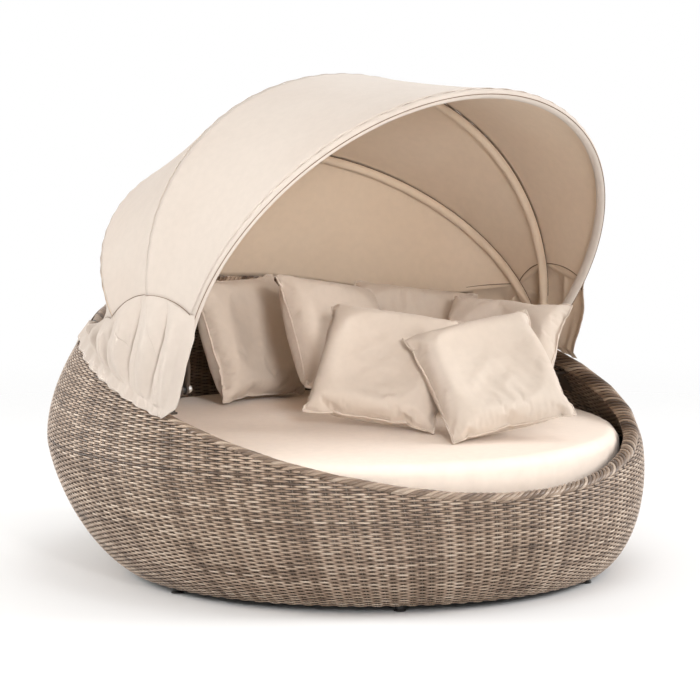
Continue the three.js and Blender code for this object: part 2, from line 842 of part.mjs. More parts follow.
const seatColumns = 40;
const seatBottom = deckTop + touchGap;
const seatTop = seatBottom + seatThickness;
const braidInnerDepth = (wallDepth + braidWidth) / 2;
const seatRadius = clearRadius(seatBottom + seatEdgeRound / 2, seatTop - seatEdgeRound / 2,
  braidInnerDepth, seatCentreY) - seatClearance;

// Steps of the crown's profile, out from the middle.
const crownShares = [0, 0.45, 0.75, 1];

function crownHeight(share) {
  return seatTop + seatCrown * (1 - share * share);
}

// Height of the seat cushion's top above the floor, along the straight steps of its profile.
function seatTopAt(x, y) {
  const share = Math.min(1, Math.hypot(x, y - seatCentreY) / (seatRadius - seatEdgeRound));
  const i = Math.max(1, crownShares.findIndex((s) => s >= share));
  const [inner, outer] = [crownShares[i - 1], crownShares[i]];
  const part = (share - inner) / (outer - inner);
  return THREE.MathUtils.lerp(crownHeight(inner), crownHeight(outer), part);
}

function seatCushion() {
  const inner = seatRadius - seatEdgeRound;
  const arcSteps = 3;
  const corner = (turn, z, up) => new THREE.Vector2(inner + seatEdgeRound * Math.sin(turn),
    z + up * seatEdgeRound * (1 - Math.cos(turn)));
  const profile = [new THREE.Vector2(0, seatBottom)];
  for (let i = 0; i <= arcSteps; i += 1) {
    profile.push(corner((Math.PI / 2) * (i / arcSteps), seatBottom, 1));
  }
  profile.push(new THREE.Vector2(seatRadius - seatWaist, (seatBottom + seatTop) / 2));
  for (let i = arcSteps; i >= 0; i -= 1) {
    profile.push(corner((Math.PI / 2) * (i / arcSteps), seatTop, -1));
  }
  for (const share of [...crownShares].reverse().slice(1)) {
    profile.push(new THREE.Vector2(inner * share, crownHeight(share)));
  }
  const geometry = new THREE.LatheGeometry(profile, seatColumns);
  geometry.rotateX(Math.PI / 2);
  geometry.translate(0, seatCentreY, 0);
  return geometry;
}

// A stuffed square: crowned faces, sides drawn in between sharp corners.
function scatterCushion() {
  const count = 8;
  const half = cushionSize / 2;
  const level = (n) => Math.sin((Math.PI / 2) * ((2 * n) / count - 1));
  const positions = [];
  for (const side of [-1, 1]) {
    for (let i = 0; i <= count; i += 1) {
      for (let j = 0; j <= count; j += 1) {
        const a = level(i);
        const b = level(j);
        const fill = Math.pow((1 - a * a) * (1 - b * b), 0.45);
        const x = half * a - cushionDrawIn * (1 - b * b) * a;
        const z = half * b - cushionDrawIn * (1 - a * a) * b;
        positions.push(x, (side * (cushionEdge + (cushionDepth - cushionEdge) * fill)) / 2, z);
      }
    }
  }
  const line = count + 1;
  const back = line * line;
  const far = count * line;
  const index = [];
  const quad = (a, b, c, d) => index.push(a, b, c, a, c, d);
  for (let i = 0; i < count; i += 1) {
    for (let j = 0; j < count; j += 1) {
      const at = i * line + j;
      quad(at, at + line, at + line + 1, at + 1);
      quad(back + at, back + at + 1, back + at + line + 1, back + at + line);
    }
    quad(i, i + 1, back + i + 1, back + i);
    quad(far + i, back + far + i, back + far + i + 1, far + i + 1);
    quad(i * line, back + i * line, back + (i + 1) * line, (i + 1) * line);
    const end = i * line + count;
    quad(end, end + line, back + end + line, back + end);
  }
  return facingOut(positions, index);
}

// Middle of each scatter cushion as shares of the seat's radius, right and back from the
// middle of the seat, then its turn, lean and slant in degrees.
const cushionPlaceShares = [
  { x: 0.018, y: 0.659, turn: 15.6, lean: 21.6, slant: -2.3 },
  { x: 0.132, y: 0.234, turn: 11.9, lean: 31.6, slant: -13.2 },
  { x: 0.492, y: 0.287, turn: -44.7, lean: 37.7, slant: -6.5 },
  { x: 0.538, y: -0.212, turn: -62.1, lean: 35.1, slant: -1.4 },
  { x: -0.046, y: -0.266, turn: -43.4, lean: 40.7, slant: -9.5 },
  { x: 0.172, y: -0.612, turn: -26.4, lean: 44.4, slant: 13.3 },
];

function addCushions() {
  add('seat_cushion', seatCushion(), seatCloth);
  cushionPlaceShares.forEach((place, i) => {
    const geometry = scatterCushion();
    const angles = [-place.lean, -place.slant, place.turn].map((angle) => angle * degree);
    const turned = new THREE.Euler(...angles, 'ZXY');
    geometry.applyMatrix4(new THREE.Matrix4().makeRotationFromEuler(turned));
    geometry.translate(place.x * seatRadius, seatCentreY + place.y * seatRadius, 0);
    const p = geometry.attributes.position;
    let lift = -Infinity;
    for (let n = 0; n < p.count; n += 1) {
      lift = Math.max(lift, seatTopAt(p.getX(n), p.getY(n)) - p.getZ(n));
    }
    geometry.translate(0, 0, lift + touchGap);
    add(`scatter_cushion_${i + 1}`, geometry, scatterCloth);
  });
}

add('outer_weave', wovenSkin(weaveThickness / 2, weaveBottom, 6, weaveThickness), rattan);
add('inner_weave', wovenSkin(innerSkinDepth, innerSkinBottom, innerSkinRows, weaveThickness),
  darkRattan);
add('rim_braid', rimBraid(), rattan);
addFrame();
addDeck();
addFeet();
addBows();
addPivotHardware();
addCanopy();
addCushions();

export default part;
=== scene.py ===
import json
import math

import bpy
import numpy as np
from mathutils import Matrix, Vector

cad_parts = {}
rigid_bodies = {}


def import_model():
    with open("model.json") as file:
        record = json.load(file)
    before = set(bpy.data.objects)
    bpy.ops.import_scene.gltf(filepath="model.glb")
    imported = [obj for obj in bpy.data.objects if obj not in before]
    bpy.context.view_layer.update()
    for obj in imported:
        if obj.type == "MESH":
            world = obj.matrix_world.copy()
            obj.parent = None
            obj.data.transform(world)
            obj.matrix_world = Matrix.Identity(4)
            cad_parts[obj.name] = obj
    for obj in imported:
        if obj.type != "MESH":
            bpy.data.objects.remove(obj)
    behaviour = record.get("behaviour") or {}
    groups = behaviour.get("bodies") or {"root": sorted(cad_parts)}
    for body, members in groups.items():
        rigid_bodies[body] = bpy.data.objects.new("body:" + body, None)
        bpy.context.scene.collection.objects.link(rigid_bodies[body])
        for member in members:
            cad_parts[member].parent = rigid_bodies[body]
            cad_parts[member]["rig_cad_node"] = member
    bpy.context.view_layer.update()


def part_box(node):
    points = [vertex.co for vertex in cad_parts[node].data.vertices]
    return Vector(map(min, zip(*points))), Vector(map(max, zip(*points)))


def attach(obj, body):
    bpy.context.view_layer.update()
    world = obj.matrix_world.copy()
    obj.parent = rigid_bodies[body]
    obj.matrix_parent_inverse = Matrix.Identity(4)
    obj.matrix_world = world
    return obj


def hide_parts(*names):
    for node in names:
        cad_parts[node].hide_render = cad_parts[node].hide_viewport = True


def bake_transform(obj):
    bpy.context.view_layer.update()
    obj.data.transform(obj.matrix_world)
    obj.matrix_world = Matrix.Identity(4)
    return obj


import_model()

ROOT, THIRD, SECOND, FRONT = "root", "third_canopy", "second_canopy", "front_canopy"
DEG = math.pi / 180

# ---- sizes, in metres and degrees
# bowl, as in the CAD: outer radii and heights, fullness of its profile, lean and rim heights
BELLY_R, BASE_R, BELLY_Z, DOME_H = 0.950, 0.707, 0.400, 0.750
LOWER_FULL, UPPER_FULL, LEAN, CENTRED_Z = 1.75, 1.6, 0.3, 0.377
RIM_FRONT, RIM_SIDE, RIM_BACK = 0.356, 0.672, 0.875
BRAID_H, BRAID_W, WALL_DEPTH = 0.026, 0.056, 0.048
OUTER_LOW, INNER_LOW = 0.018, 0.385
# weave: stakes round the wall, stations per stake, height of a row and depth of its waves
STAKES, PER_STAKE, PITCH, WAVE = 184, 4, 0.0071, 0.0026
# depths of the rows, the stakes and the near-black sheet of painted shade behind them
ROW_DEPTH, STAKE_DEPTH, SHADE_SHEET_DEPTH = 0.0035, 0.0042, 0.0075
# twisted border: strands, turns round the rim, stations per turn, half width and half height
BRAID_STRANDS, BRAID_TURNS, PER_TURN, STRAND_W, STRAND_H = 8, 34, 16, 0.0062, 0.0034
# bows, front first, as in the CAD: angles from the front round the pivot line, and the degrees
# that each turns when the canopy folds
PIVOT_Y, PIVOT_Z = -0.091, 0.625
BOW_TUBE, NECK_0, NECK_1 = 0.020, 0.030, 0.110
SPANS, BULGES = (0.689, 0.710, 0.731), (0.073, 0.071, 0.069)
REACHES, ANGLES = (1.071, 0.932, 0.917), (57.5, 99.3, 134.0)
TURNS, REAR_FAN = (86.5, 51.7, 24.0), 163.0
# cloth: as in the CAD, and as thin as it is shown here
SEAM_REACH, CLOTH, SHOWN_CLOTH = 0.290, 0.0024, 0.0018
SLEEVE_R = BOW_TUBE / 2 + 0.0008 + 0.004
LEG_REACH, LEG_GIRTH, LEG_TAPER = 0.125, 0.0116, 0.11
STAND = SLEEVE_R + 0.0003 + CLOTH / 2
COLUMNS, ROWS = 140, 26
# skirts: where they end on the rim, their drop, folds, seam and front flap; the right one's tip
# lies further back, and it has more slack
REAR_END, SKIRT_TIP, SKIRT_END, RIGHT_TIP_BACK = 119.0, 72.0, 117.8, 7
SKIRT_DROP, SKIRT_OFF, FOLD_DEPTH, FOLDS = 0.060, 0.012, 0.024, 6
SEAM_SHARE, SEAM_ARC, FLAP, FLAP_SHARE = 0.003, 0.0085, 0.040, 0.04
LEFT_SLACK, RIGHT_SLACK, SLACK_REACH = 0.2, 0.62, 0.42
HEM_SHARE = 0.8
# band round the back
BAND_DOWN, BAND_H, BAND_OUT = 0.008, 0.054, 0.0042
# cushions: their size, and the turn, lean and slant of each
SEAT_Y, SEAT_TOP, SEAT_BOTTOM, SEAT_CROWN = -0.010, 0.4503, 0.3123, 0.030
SEAT_R = float(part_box("seat_cushion")[1].x)
CUSHION, CUSHION_DEPTH = 0.420, 0.140
PLACES = (
    (15.6, 21.6, -2.3), (11.9, 31.6, -13.2), (-44.7, 37.7, -6.5),
    (-62.1, 35.1, -1.4), (-43.4, 40.7, -9.5), (-26.4, 44.4, 13.3),
)


# ---- meshes
def grid_faces(rows, columns, wrap=False, loop=False):
    """Quads of a grid of rows x columns points; wrap joins the last column to the first, loop
    the last row to the first."""
    i = np.arange(rows if loop else rows - 1)[:, None] * columns
    after = (i + columns) % (rows * columns)
    j = np.arange(columns if wrap else columns - 1)[None, :]
    k = (j + 1) % columns
    return np.stack([i + j, i + k, after + k, after + j], -1).reshape(-1, 4)


def mesh_object(name, points, faces, material, smooth=True, tone=None, uv=None):
    """An object from an array of points and an array of quads, smooth everywhere or as said for
    each face, with an optional number (attribute Tone) and an optional UV pair per point."""
    name = name.replace(" ", "_")
    data = bpy.data.meshes.new(name)
    data.from_pydata(np.asarray(points).reshape(-1, 3).tolist(), [], np.asarray(faces).tolist())
    data.polygons.foreach_set("use_smooth", np.broadcast_to(smooth, len(data.polygons)).tolist())
    if tone is not None:
        layer = data.attributes.new("Tone", "FLOAT", "POINT")
        layer.data.foreach_set("value", np.asarray(tone, np.float32).ravel())
    if uv is not None:
        index = np.zeros(len(data.loops), np.int32)
        data.loops.foreach_get("vertex_index", index)
        data.uv_layers.new(name="UVMap").data.foreach_set(
            "uv", np.asarray(uv, np.float32).reshape(-1, 2)[index].ravel())
    data.materials.append(material)
    data.validate()
    data.update()
    obj = bpy.data.objects.new(name, data)
    bpy.context.scene.collection.objects.link(obj)
    return obj


def settle(obj, node=None, body=ROOT):
    """Let a piece ride on a body, if one is given, and hide the CAD node that it stands for."""
    if body:
        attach(obj, body)
    if node:
        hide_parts(node)
    return obj


def normals(p):
    """Vectors across the surface of a grid of points: rows' direction x columns' direction."""
    return np.cross(np.gradient(p, axis=1), np.gradient(p, axis=0))


def turned_from(p, away):
    """Whether the normals of a grid of points turn from the direction away, on the whole."""
    return np.sum(normals(p) * away) < 0


def slab(name, points):
    """Canopy cloth over a grid of points (rows x columns x 3): two copies of the surface half a
    thickness to each side along its normals, joined round the edge. The side that the normals
    leave is the outside."""
    rows, columns = points.shape[:2]
    n = normals(points)
    n /= np.linalg.norm(n, axis=-1, keepdims=True) + 1e-12
    front = points + n * SHOWN_CLOTH / 2
    back = points - n * SHOWN_CLOTH / 2
    count = rows * columns
    f = grid_faces(rows, columns)
    edge = np.concatenate([
        np.arange(columns), np.arange(1, rows) * columns + columns - 1,
        (rows - 1) * columns + np.arange(columns - 2, -1, -1),
        np.arange(rows - 2, 0, -1) * columns])
    nxt = np.roll(edge, -1)
    rim = np.stack([nxt, edge, edge + count, nxt + count], -1)
    faces = np.concatenate([f, (f + count)[:, ::-1], rim])
    smooth = np.arange(len(faces)) < 2 * len(f)
    obj = mesh_object(name, np.concatenate([front.reshape(-1, 3), back.reshape(-1, 3)]), faces,
                      canopy_out, smooth)
    # inside faces take the brighter, warmer cloth: painted light through the canvas
    obj.data.materials.append(canopy_in_painted_light)
    slots = np.zeros(len(faces), np.int32)
    slots[len(f):2 * len(f)] = 1
    obj.data.polygons.foreach_set("material_index", slots)
    return obj


def around(path, a, b, radius, sides, height=None):
    """Rings of points round a path: radius * cos(turn) along a and height * sin(turn) along b,
    where the height is the radius if none is given."""
    turn = 2 * np.pi * np.arange(sides) / sides
    height = radius if height is None else height
    return path[:, None] + ((np.cos(turn) * radius)[..., None] * a[:, None]
                            + (np.sin(turn) * height)[..., None] * b[:, None])


def tube(path, radius, sides, closed=False):
    """Points and quads of a round tube along a path: at each station a circle in the plane
    across the path, turned so that it doesn't twist more than the path does."""
    path = np.asarray(path, float)
    if closed:
        t = np.roll(path, -1, 0) - np.roll(path, 1, 0)
    else:
        t = np.gradient(path, axis=0)
    t /= np.linalg.norm(t, axis=1, keepdims=True)
    ref = np.zeros_like(t)
    ref[:, np.argmin(np.abs(t).mean(0))] = 1
    a = np.cross(t, ref)
    a /= np.linalg.norm(a, axis=1, keepdims=True)
    points = around(path, a, np.cross(t, a), radius, sides)
    return points.reshape(-1, 3), grid_faces(len(path), sides, True, closed)


def joined(parts):
    """One array of points and one of quads from several pairs."""
    points, faces, at = [], [], 0
    for p, f in parts:
        points.append(p)
        faces.append(f + at)
        at += len(p)
    return np.concatenate(points), np.concatenate(faces)


def ripple(p, scale, seed, octaves=3):
    """Smooth random waves over points, from about -1 to 1: a sum of sines whose directions
    and phases come from the seed."""
    r = np.random.default_rng(seed)
    total, weight = np.zeros(p.shape[:-1]), 0.0
    for o in range(octaves):
        for _ in range(5):
            d = r.normal(size=3)
            d /= np.linalg.norm(d)
            total += np.sin(p @ d * (2 * np.pi * 2 ** o / scale) + r.uniform(0, 6.3)) / 2 ** o
            weight += 1 / 2 ** o
    return total / weight * 1.6


# ---- materials
class Value:
    """A socket that can be summed, multiplied and mixed like a number."""

    def __init__(self, tree, socket):
        self.tree, self.socket = tree, socket

    def node(self, kind, settings=None, out=0, **inputs):
        """Any node: settings are its properties, inputs its sockets, by name with _ for blanks
        or by number as i0, i1 and so on."""
        n = self.tree.nodes.new(kind)
        for key, value in (settings or {}).items():
            setattr(n, key, value)
        for key, value in inputs.items():
            numbered = key[0] == "i" and key[1:].isdigit()
            s = n.inputs[int(key[1:]) if numbered else key.replace("_", " ")]
            if isinstance(value, Value):
                self.tree.links.new(value.socket, s)
            else:
                s.default_value = value
        return Value(self.tree, n.outputs[out])

    def maths(self, how, a, b=0.0):
        """A Math node on two values or numbers."""
        return self.node("ShaderNodeMath", {"operation": how}, i0=a, i1=b)

    def __add__(self, o): return self.maths("ADD", self, o)
    def __radd__(self, o): return self.maths("ADD", o, self)
    def __sub__(self, o): return self.maths("SUBTRACT", self, o)
    def __rsub__(self, o): return self.maths("SUBTRACT", o, self)
    def __mul__(self, o): return self.maths("MULTIPLY", self, o)
    def __rmul__(self, o): return self.maths("MULTIPLY", o, self)
    def sine(self): return self.maths("SINE", self)

    def between(self, low, high):
        """0 below low, 1 above high, smooth between them."""
        return self.node("ShaderNodeMapRange", {"interpolation_type": "SMOOTHSTEP"},
                         Value=self, From_Min=low, From_Max=high)

    def colours(self, *stops):
        """A colour ramp: (place, colour) pairs."""
        n = self.tree.nodes.new("ShaderNodeValToRGB")
        ramp = n.color_ramp
        while len(ramp.elements) < len(stops):
            ramp.elements.new(0.5)
        for e, (place, colour) in zip(ramp.elements, stops):
            e.position, e.color = place, (*colour, 1)
        self.tree.links.new(self.socket, n.inputs[0])
        return Value(self.tree, n.outputs[0])

    def mixed(self, a, b):
        """Colour a where this value is 0, colour b where it is 1."""
        return self.node("ShaderNodeMix", {"data_type": "RGBA"}, out=2, i0=self, i6=a, i7=b)

    def times(self, colour):
        """This colour multiplied by another."""
        return self.node("ShaderNodeMix", {"data_type": "RGBA", "blend_type": "MULTIPLY"}, out=2,
                         i0=1.0, i6=self, i7=colour)


def rgb(colour):
    """A colour with full alpha."""
    return (*colour, 1.0)


def new_material(name, **constants):
    """A material with a Principled shader whose constants are set; returns it, its shader
    and its Object coordinates."""
    m = bpy.data.materials.new(name)
    m.use_nodes = True
    tree = m.node_tree
    shader = next(n for n in tree.nodes if n.type == "BSDF_PRINCIPLED")
    for key, value in constants.items():
        shader.inputs[key.replace("_", " ")].default_value = value
    coords = tree.nodes.new("ShaderNodeTexCoord")
    m.diffuse_color = rgb((0.6, 0.5, 0.4))
    return m, shader, Value(tree, coords.outputs["Object"])


def link(value, shader, name):
    """Lead a value to one of the shader's sockets."""
    value.tree.links.new(value.socket, shader.inputs[name])


def bump(value, shader, strength, distance):
    """Height from a value to the shader's normal."""
    link(value.node("ShaderNodeBump", None, Height=value, Strength=strength, Distance=distance),
         shader, "Normal")


def noise(at, scale, detail=2.0):
    """Noise at a value's places."""
    return at.node("ShaderNodeTexNoise", None, Vector=at, Scale=scale, Detail=detail,
                   Roughness=0.5)


def rattan(name, stops, dim):
    """Flat synthetic strands: a colour for each length of strand from the Tone attribute, fine
    streaks along it and a slight grain. The Tone also carries painted shade where the strands dip
    behind the stakes, and dim scales the whole colour; its low values are painted shade too."""
    m, shader, at = new_material(name, Specular_IOR_Level=0.6)
    tone = at.node("ShaderNodeAttribute", {"attribute_name": "Tone"}, out=2)
    uv = at.node("ShaderNodeUVMap", {"uv_map": "UVMap"})
    streak = noise(uv, 1.0)
    base = tone.colours(*stops)
    tint = streak.between(0.3, 0.7).mixed(rgb((0.80 * dim,) * 3), rgb((1.08 * dim,) * 3))
    link(base.times(tint), shader, "Base Color")
    link(streak * 0.2 + 0.27, shader, "Roughness")
    bump(streak, shader, 0.25, 0.0006)
    return m


THREADS = 2400.0


def cloth(name, colour, warm):
    """Woven canvas: the product of two crossed sine waves for the threads, faint slubs, and a
    broad change from one colour to a warmer one."""
    m, shader, at = new_material(name, Roughness=0.92, Sheen_Weight=0.15, Specular_IOR_Level=0.2)
    split = at.node("ShaderNodeSeparateXYZ", None, Vector=at)
    x, y, z = (Value(at.tree, split.socket.node.outputs[i]) for i in range(3))
    threads = ((x + y * 0.6) * THREADS).sine() * ((z + y * 0.8) * THREADS).sine()
    slub = noise(at, 38.0, 4.0)
    base = noise(at, 2.3).between(0.35, 0.65).mixed(rgb(colour), rgb(warm))
    tint = slub.between(0.3, 0.7).mixed(rgb((0.975,) * 3), rgb((1.01,) * 3))
    link(base.times(tint), shader, "Base Color")
    link(slub * 0.1 + 0.85, shader, "Roughness")
    bump(threads * 0.5 + slub * 0.8, shader, 0.22, 0.0005)
    return m


def coated(name, colour, roughness=0.45, metallic=0.3):
    """Powder-coated tube: even colour with a faint orange-peel."""
    m, shader, at = new_material(name, Metallic=metallic, Roughness=roughness)
    grain = noise(at, 260.0)
    darker = rgb([c * 0.9 for c in colour])
    link(grain.between(0.2, 0.8).mixed(darker, rgb(colour)), shader, "Base Color")
    bump(grain, shader, 0.12, 0.0004)
    return m


# strand tones, dark to light; the darkest stops are painted shade where strands dip behind the
# stakes
STRAND_TONES_AND_SHADE = (
    (0.00, (0.050, 0.029, 0.018)), (0.22, (0.160, 0.100, 0.064)), (0.48, (0.340, 0.232, 0.158)),
    (0.72, (0.530, 0.390, 0.285)), (1.00, (0.740, 0.590, 0.460)),
)
outer_rattan = rattan("Woven rattan", STRAND_TONES_AND_SHADE, 0.81)
# the inside wall: the same rattan dimmed to half as painted shade
inner_rattan_painted_shade = rattan("Inner rattan", STRAND_TONES_AND_SHADE, 0.50)
braid_rattan = rattan("Braid rattan", STRAND_TONES_AND_SHADE, 0.72)
# stakes dimmed as painted shade, so the holes where strands cross them look dark
stake_rattan_painted_shade = rattan("Stake rattan", STRAND_TONES_AND_SHADE, 0.36)
# near-black painted shade for the sheet inside the wall, the braid's core and the seat deck
painted_shade_rattan = coated("Shaded rattan", (0.040, 0.027, 0.019), 0.8, 0.0)
canopy_out = cloth("Canopy cloth outside", (0.535, 0.46, 0.40), (0.555, 0.485, 0.425))
# the same canvas as outside, brighter and warmer: painted light shining through the cloth
canopy_in_painted_light = cloth("Canopy cloth inside", (0.68, 0.54, 0.41), (0.70, 0.565, 0.435))
# dark cords: painted shade along the seams' creases
seam_painted_shade_cloth = cloth("Canopy seam cloth", (0.17, 0.110, 0.070), (0.19, 0.125, 0.08))
# the cushions' canvas brightened as painted light, making up for the shade under the canopy
seat_cloth_painted_light = cloth("Seat cloth", (0.90, 0.77, 0.66), (0.91, 0.785, 0.68))
scatter_cloth = cloth("Cushion cloth", (0.595, 0.50, 0.42), (0.615, 0.525, 0.445))
piping_cloth = cloth("Piping cloth", (0.60, 0.50, 0.42), (0.63, 0.53, 0.445))
frame_coat = coated("Frame coat", (0.060, 0.044, 0.034))
steel, steel_shader, steel_at = new_material("Brushed steel", Metallic=1.0, Roughness=0.3)
steel_grain = noise(steel_at, 400.0, 3.0).between(0.3, 0.7)
link(steel_grain.mixed(rgb((0.55, 0.54, 0.53)), rgb((0.66, 0.65, 0.64))), steel_shader,
     "Base Color")
glide = coated("Black plastic", (0.016, 0.014, 0.013), 0.5, 0.0)


# ---- shape of the bowl
def bowl_radius(z):
    """Radius of the bowl's outer surface: a superellipse below the belly and one above."""
    z = np.asarray(z, float)
    t = np.clip((BELLY_Z - z) / BELLY_Z, 0, 1)
    low = BASE_R + (BELLY_R - BASE_R) * (1 - t ** LOWER_FULL) ** (1 / LOWER_FULL)
    u = np.clip((z - BELLY_Z) / DOME_H, 0, 1)
    return np.where(z < BELLY_Z, low, BELLY_R * (1 - u ** UPPER_FULL) ** (1 / UPPER_FULL))


def rim_height(angle):
    """Height of the rim at an angle from the front: mean + slope cos(angle) + dip cos(2 angle),
    which passes through the heights at the front, the sides and the back."""
    mean = (RIM_FRONT + 2 * RIM_SIDE + RIM_BACK) / 4
    slope = (RIM_FRONT - RIM_BACK) / 2
    dip = (RIM_FRONT + RIM_BACK - 2 * RIM_SIDE) / 4
    return mean + slope * np.cos(angle) + dip * np.cos(2 * angle)


def wall_top(angle):
    """Height of the wall's edge under the twisted border."""
    return rim_height(angle) - BRAID_H


def wall_frame(angle, z):
    """Point of the leaning wall's outer surface, its outward normal and its way up: a circle of
    the bowl's radius at each height, moved back by the lean times the height."""
    step = 0.0005
    angle, z = np.broadcast_arrays(np.asarray(angle, float), np.asarray(z, float))
    slope = (bowl_radius(z + step) - bowl_radius(z - step)) / (2 * step)
    s, c = np.sin(angle), np.cos(angle)
    along = np.stack([s * slope, -c * slope + LEAN, np.ones_like(z)], -1)
    outward = np.stack([s, -c, LEAN * c - slope], -1)
    r = bowl_radius(z)
    p = np.stack([r * s, LEAN * (z - CENTRED_Z) - r * c, z], -1)
    return (p, outward / np.linalg.norm(outward, axis=-1, keepdims=True),
            along / np.linalg.norm(along, axis=-1, keepdims=True))


def wall_point(angle, z, depth, rise=0.0):
    """Point at a depth under the wall's outer surface and a rise up along it."""
    p, outward, along = wall_frame(angle, z)
    return p - outward * np.asarray(depth)[..., None] + along * np.asarray(rise)[..., None]


# ---- woven walls
def row_heights(low):
    """Heights of the rows from a height to the rim at the back, evenly spaced along the wall's
    profile."""
    z = np.linspace(low, float(wall_top(np.pi)), 800)
    r = bowl_radius(z)
    run = np.concatenate([[0], np.cumsum(np.hypot(np.diff(r), np.diff(z)))])
    return np.interp(np.arange(PITCH / 2, run[-1], PITCH), run, z)


def strand_tones(rows, stations, seed):
    """A number per row and station: each strand keeps its colour over a random length, 200 mm
    on the average, with a slight change from one upright stripe of the wall to the next."""
    r = np.random.default_rng(seed)
    out = np.empty((rows, stations))
    for k in range(rows):
        cuts = np.sort(r.integers(0, stations, r.integers(22, 40)))
        part = np.searchsorted(cuts, np.arange(stations), side="right") % len(cuts)
        out[k] = r.normal(0.59, 0.13, len(cuts))[part]
    turn = 2 * np.pi * np.arange(stations) / stations
    column = sum(np.sin(n * turn + n * n) for n in (17, 31, 46, 73)) * 0.045
    return np.clip(out + column, 0, 1)


def woven_rows(name, depth, heights, first, seed, material, face=1):
    """Level strands that pass in front of and behind every other stake. With s counted in stakes
    and k in rows from the first, the strand of row k dips by 1 - 2 exp(-(d / 0.33)^2), where d is
    the distance from s + k to the nearest odd number. Each has a flat section with bevelled
    edges. Its tone sinks towards the dip as painted shade, dark where it goes behind a stake.
    Parts above the rim are left out. face is 1 for the outer wall and -1 for the inner one."""
    stations = STAKES * PER_STAKE
    s = np.arange(stations) / PER_STAKE
    angle = 2 * np.pi * s / STAKES
    k = np.arange(len(heights)) + first
    a, z = np.meshgrid(angle, heights)
    p, outward, along = wall_frame(a, z)
    away = np.abs((s[None, :] + k[:, None]) % 2 - 1)
    wave = 1 - 2 * np.exp(-(away / 0.33) ** 2)
    wobble = ripple(p * [1, 1, 4], 0.35, seed) * 0.0007
    middle = p - outward * (depth - WAVE * face * wave)[..., None] + along * wobble[..., None]
    half, thin = PITCH * 0.495, 0.0010
    pinch = (0.90 + 0.05 * (1 + wave))[..., None]
    section = ((-half, -thin * 0.4), (-half * 0.65, thin), (half * 0.65, thin),
               (half, -thin * 0.4))
    ring = np.stack([middle + along * h * pinch + outward * (t * face) for h, t in section], 2)
    keep = z < wall_top(a) + 0.004
    on = keep & np.roll(keep, -1, 1)
    count = len(section)
    row = np.arange(len(heights))[:, None] * stations
    base = (row + np.arange(stations)[None, :]) * count
    follow = np.roll(base, -1, 1)
    b, f = base[on][:, None], follow[on][:, None]
    j = np.arange(count)[None, :]
    q = (j + 1) % count
    faces = np.stack([b + j, b + q, f + q, f + j], -1).reshape(-1, 4)
    if face < 0:
        faces = faces[:, ::-1]
    # painted shade: the strand's tone sinks to dark where it dips behind a stake
    shade = np.clip(1.10 - 1.5 * np.exp(-(away / 0.27) ** 2), 0, 1.1)
    tone = np.repeat((strand_tones(len(heights), stations, seed) * shade)[..., None], count, 2)
    length = np.broadcast_to(a[..., None] * BELLY_R * 9, tone.shape)
    across = np.broadcast_to(np.arange(count) * 1.6, tone.shape) + k[:, None, None] * 11.7
    points = ring.reshape(-1, 3)
    used = np.zeros(len(points), bool)
    used[faces.ravel()] = True
    new = np.cumsum(used) - 1
    return mesh_object(name, points[used], new[faces], material, tone=tone.ravel()[used],
                       uv=np.stack([length, across], -1).reshape(-1, 2)[used])


def stakes(name, depth, low, seed):
    """Upright strands that the level ones pass round, from a height to the rim."""
    rows = 44
    angle = 2 * np.pi * np.arange(STAKES) / STAKES
    top = wall_top(angle)[:, None] + 0.004
    low = np.minimum(low, top - 0.03)
    z = low + (top - low) * np.linspace(0, 1, rows)[None, :]
    a = np.broadcast_to(angle[:, None], z.shape)
    p, outward, along = wall_frame(a, z)
    side = np.cross(along, outward)
    middle = p - outward * depth
    section = ((-0.0020, 0.0), (0.0, 0.0012), (0.0020, 0.0), (0.0, -0.0012))
    ring = np.stack([middle + side * w + outward * t for w, t in section], 2)
    one = grid_faces(rows, 4, True)
    faces = (one[None] + (np.arange(STAKES) * rows * 4)[:, None, None]).reshape(-1, 4)
    tone = np.repeat(np.clip(np.random.default_rng(seed).normal(0.6, 0.15, STAKES), 0, 1), rows * 4)
    uv = np.stack([np.broadcast_to(z[..., None] * 9, ring.shape[:3]).ravel(), tone * 7], -1)
    return mesh_object(name, ring.reshape(-1, 3), faces, stake_rattan_painted_shade, tone=tone, uv=uv)


def shade_sheet(name, depth, low):
    """A near-black sheet of painted shade just inside the weave, so that no light shows between the
    strands: the wall's surface at a depth, from a height to the rim."""
    rows, columns = 14, 96
    a = 2 * np.pi * np.arange(columns) / columns
    low = np.minimum(low, wall_top(a) - 0.03)[None]
    z = low + (wall_top(a)[None] - low) * np.linspace(0, 1, rows)[:, None]
    p = wall_point(np.broadcast_to(a[None], z.shape), z, depth)
    return mesh_object(name, p, grid_faces(rows, columns, True), painted_shade_rattan)


def woven_wall(word, low, bands, seeds, material, face):
    """One woven skin: its rows in bands of some dozens, its stakes and its near-black sheet of
    painted shade, at depths from the outer surface, or from the inner one if face is -1."""
    def depth(d):
        return d if face > 0 else WALL_DEPTH - d

    first = 0
    for i, block in enumerate(np.array_split(row_heights(low), bands)):
        settle(woven_rows(f"{word} weave band {i + 1}", depth(ROW_DEPTH), block, first,
                          seeds[0] + i, material, face))
        first += len(block)
    settle(stakes(f"{word} weave stakes", depth(STAKE_DEPTH), low, seeds[1]),
           f"{word.lower()}_weave")
    settle(shade_sheet(f"{word} lining", depth(SHADE_SHEET_DEPTH), low))


woven_wall("Outer", OUTER_LOW, 5, (11, 3), outer_rattan, 1)
woven_wall("Inner", INNER_LOW, 3, (31, 5), inner_rattan_painted_shade, -1)


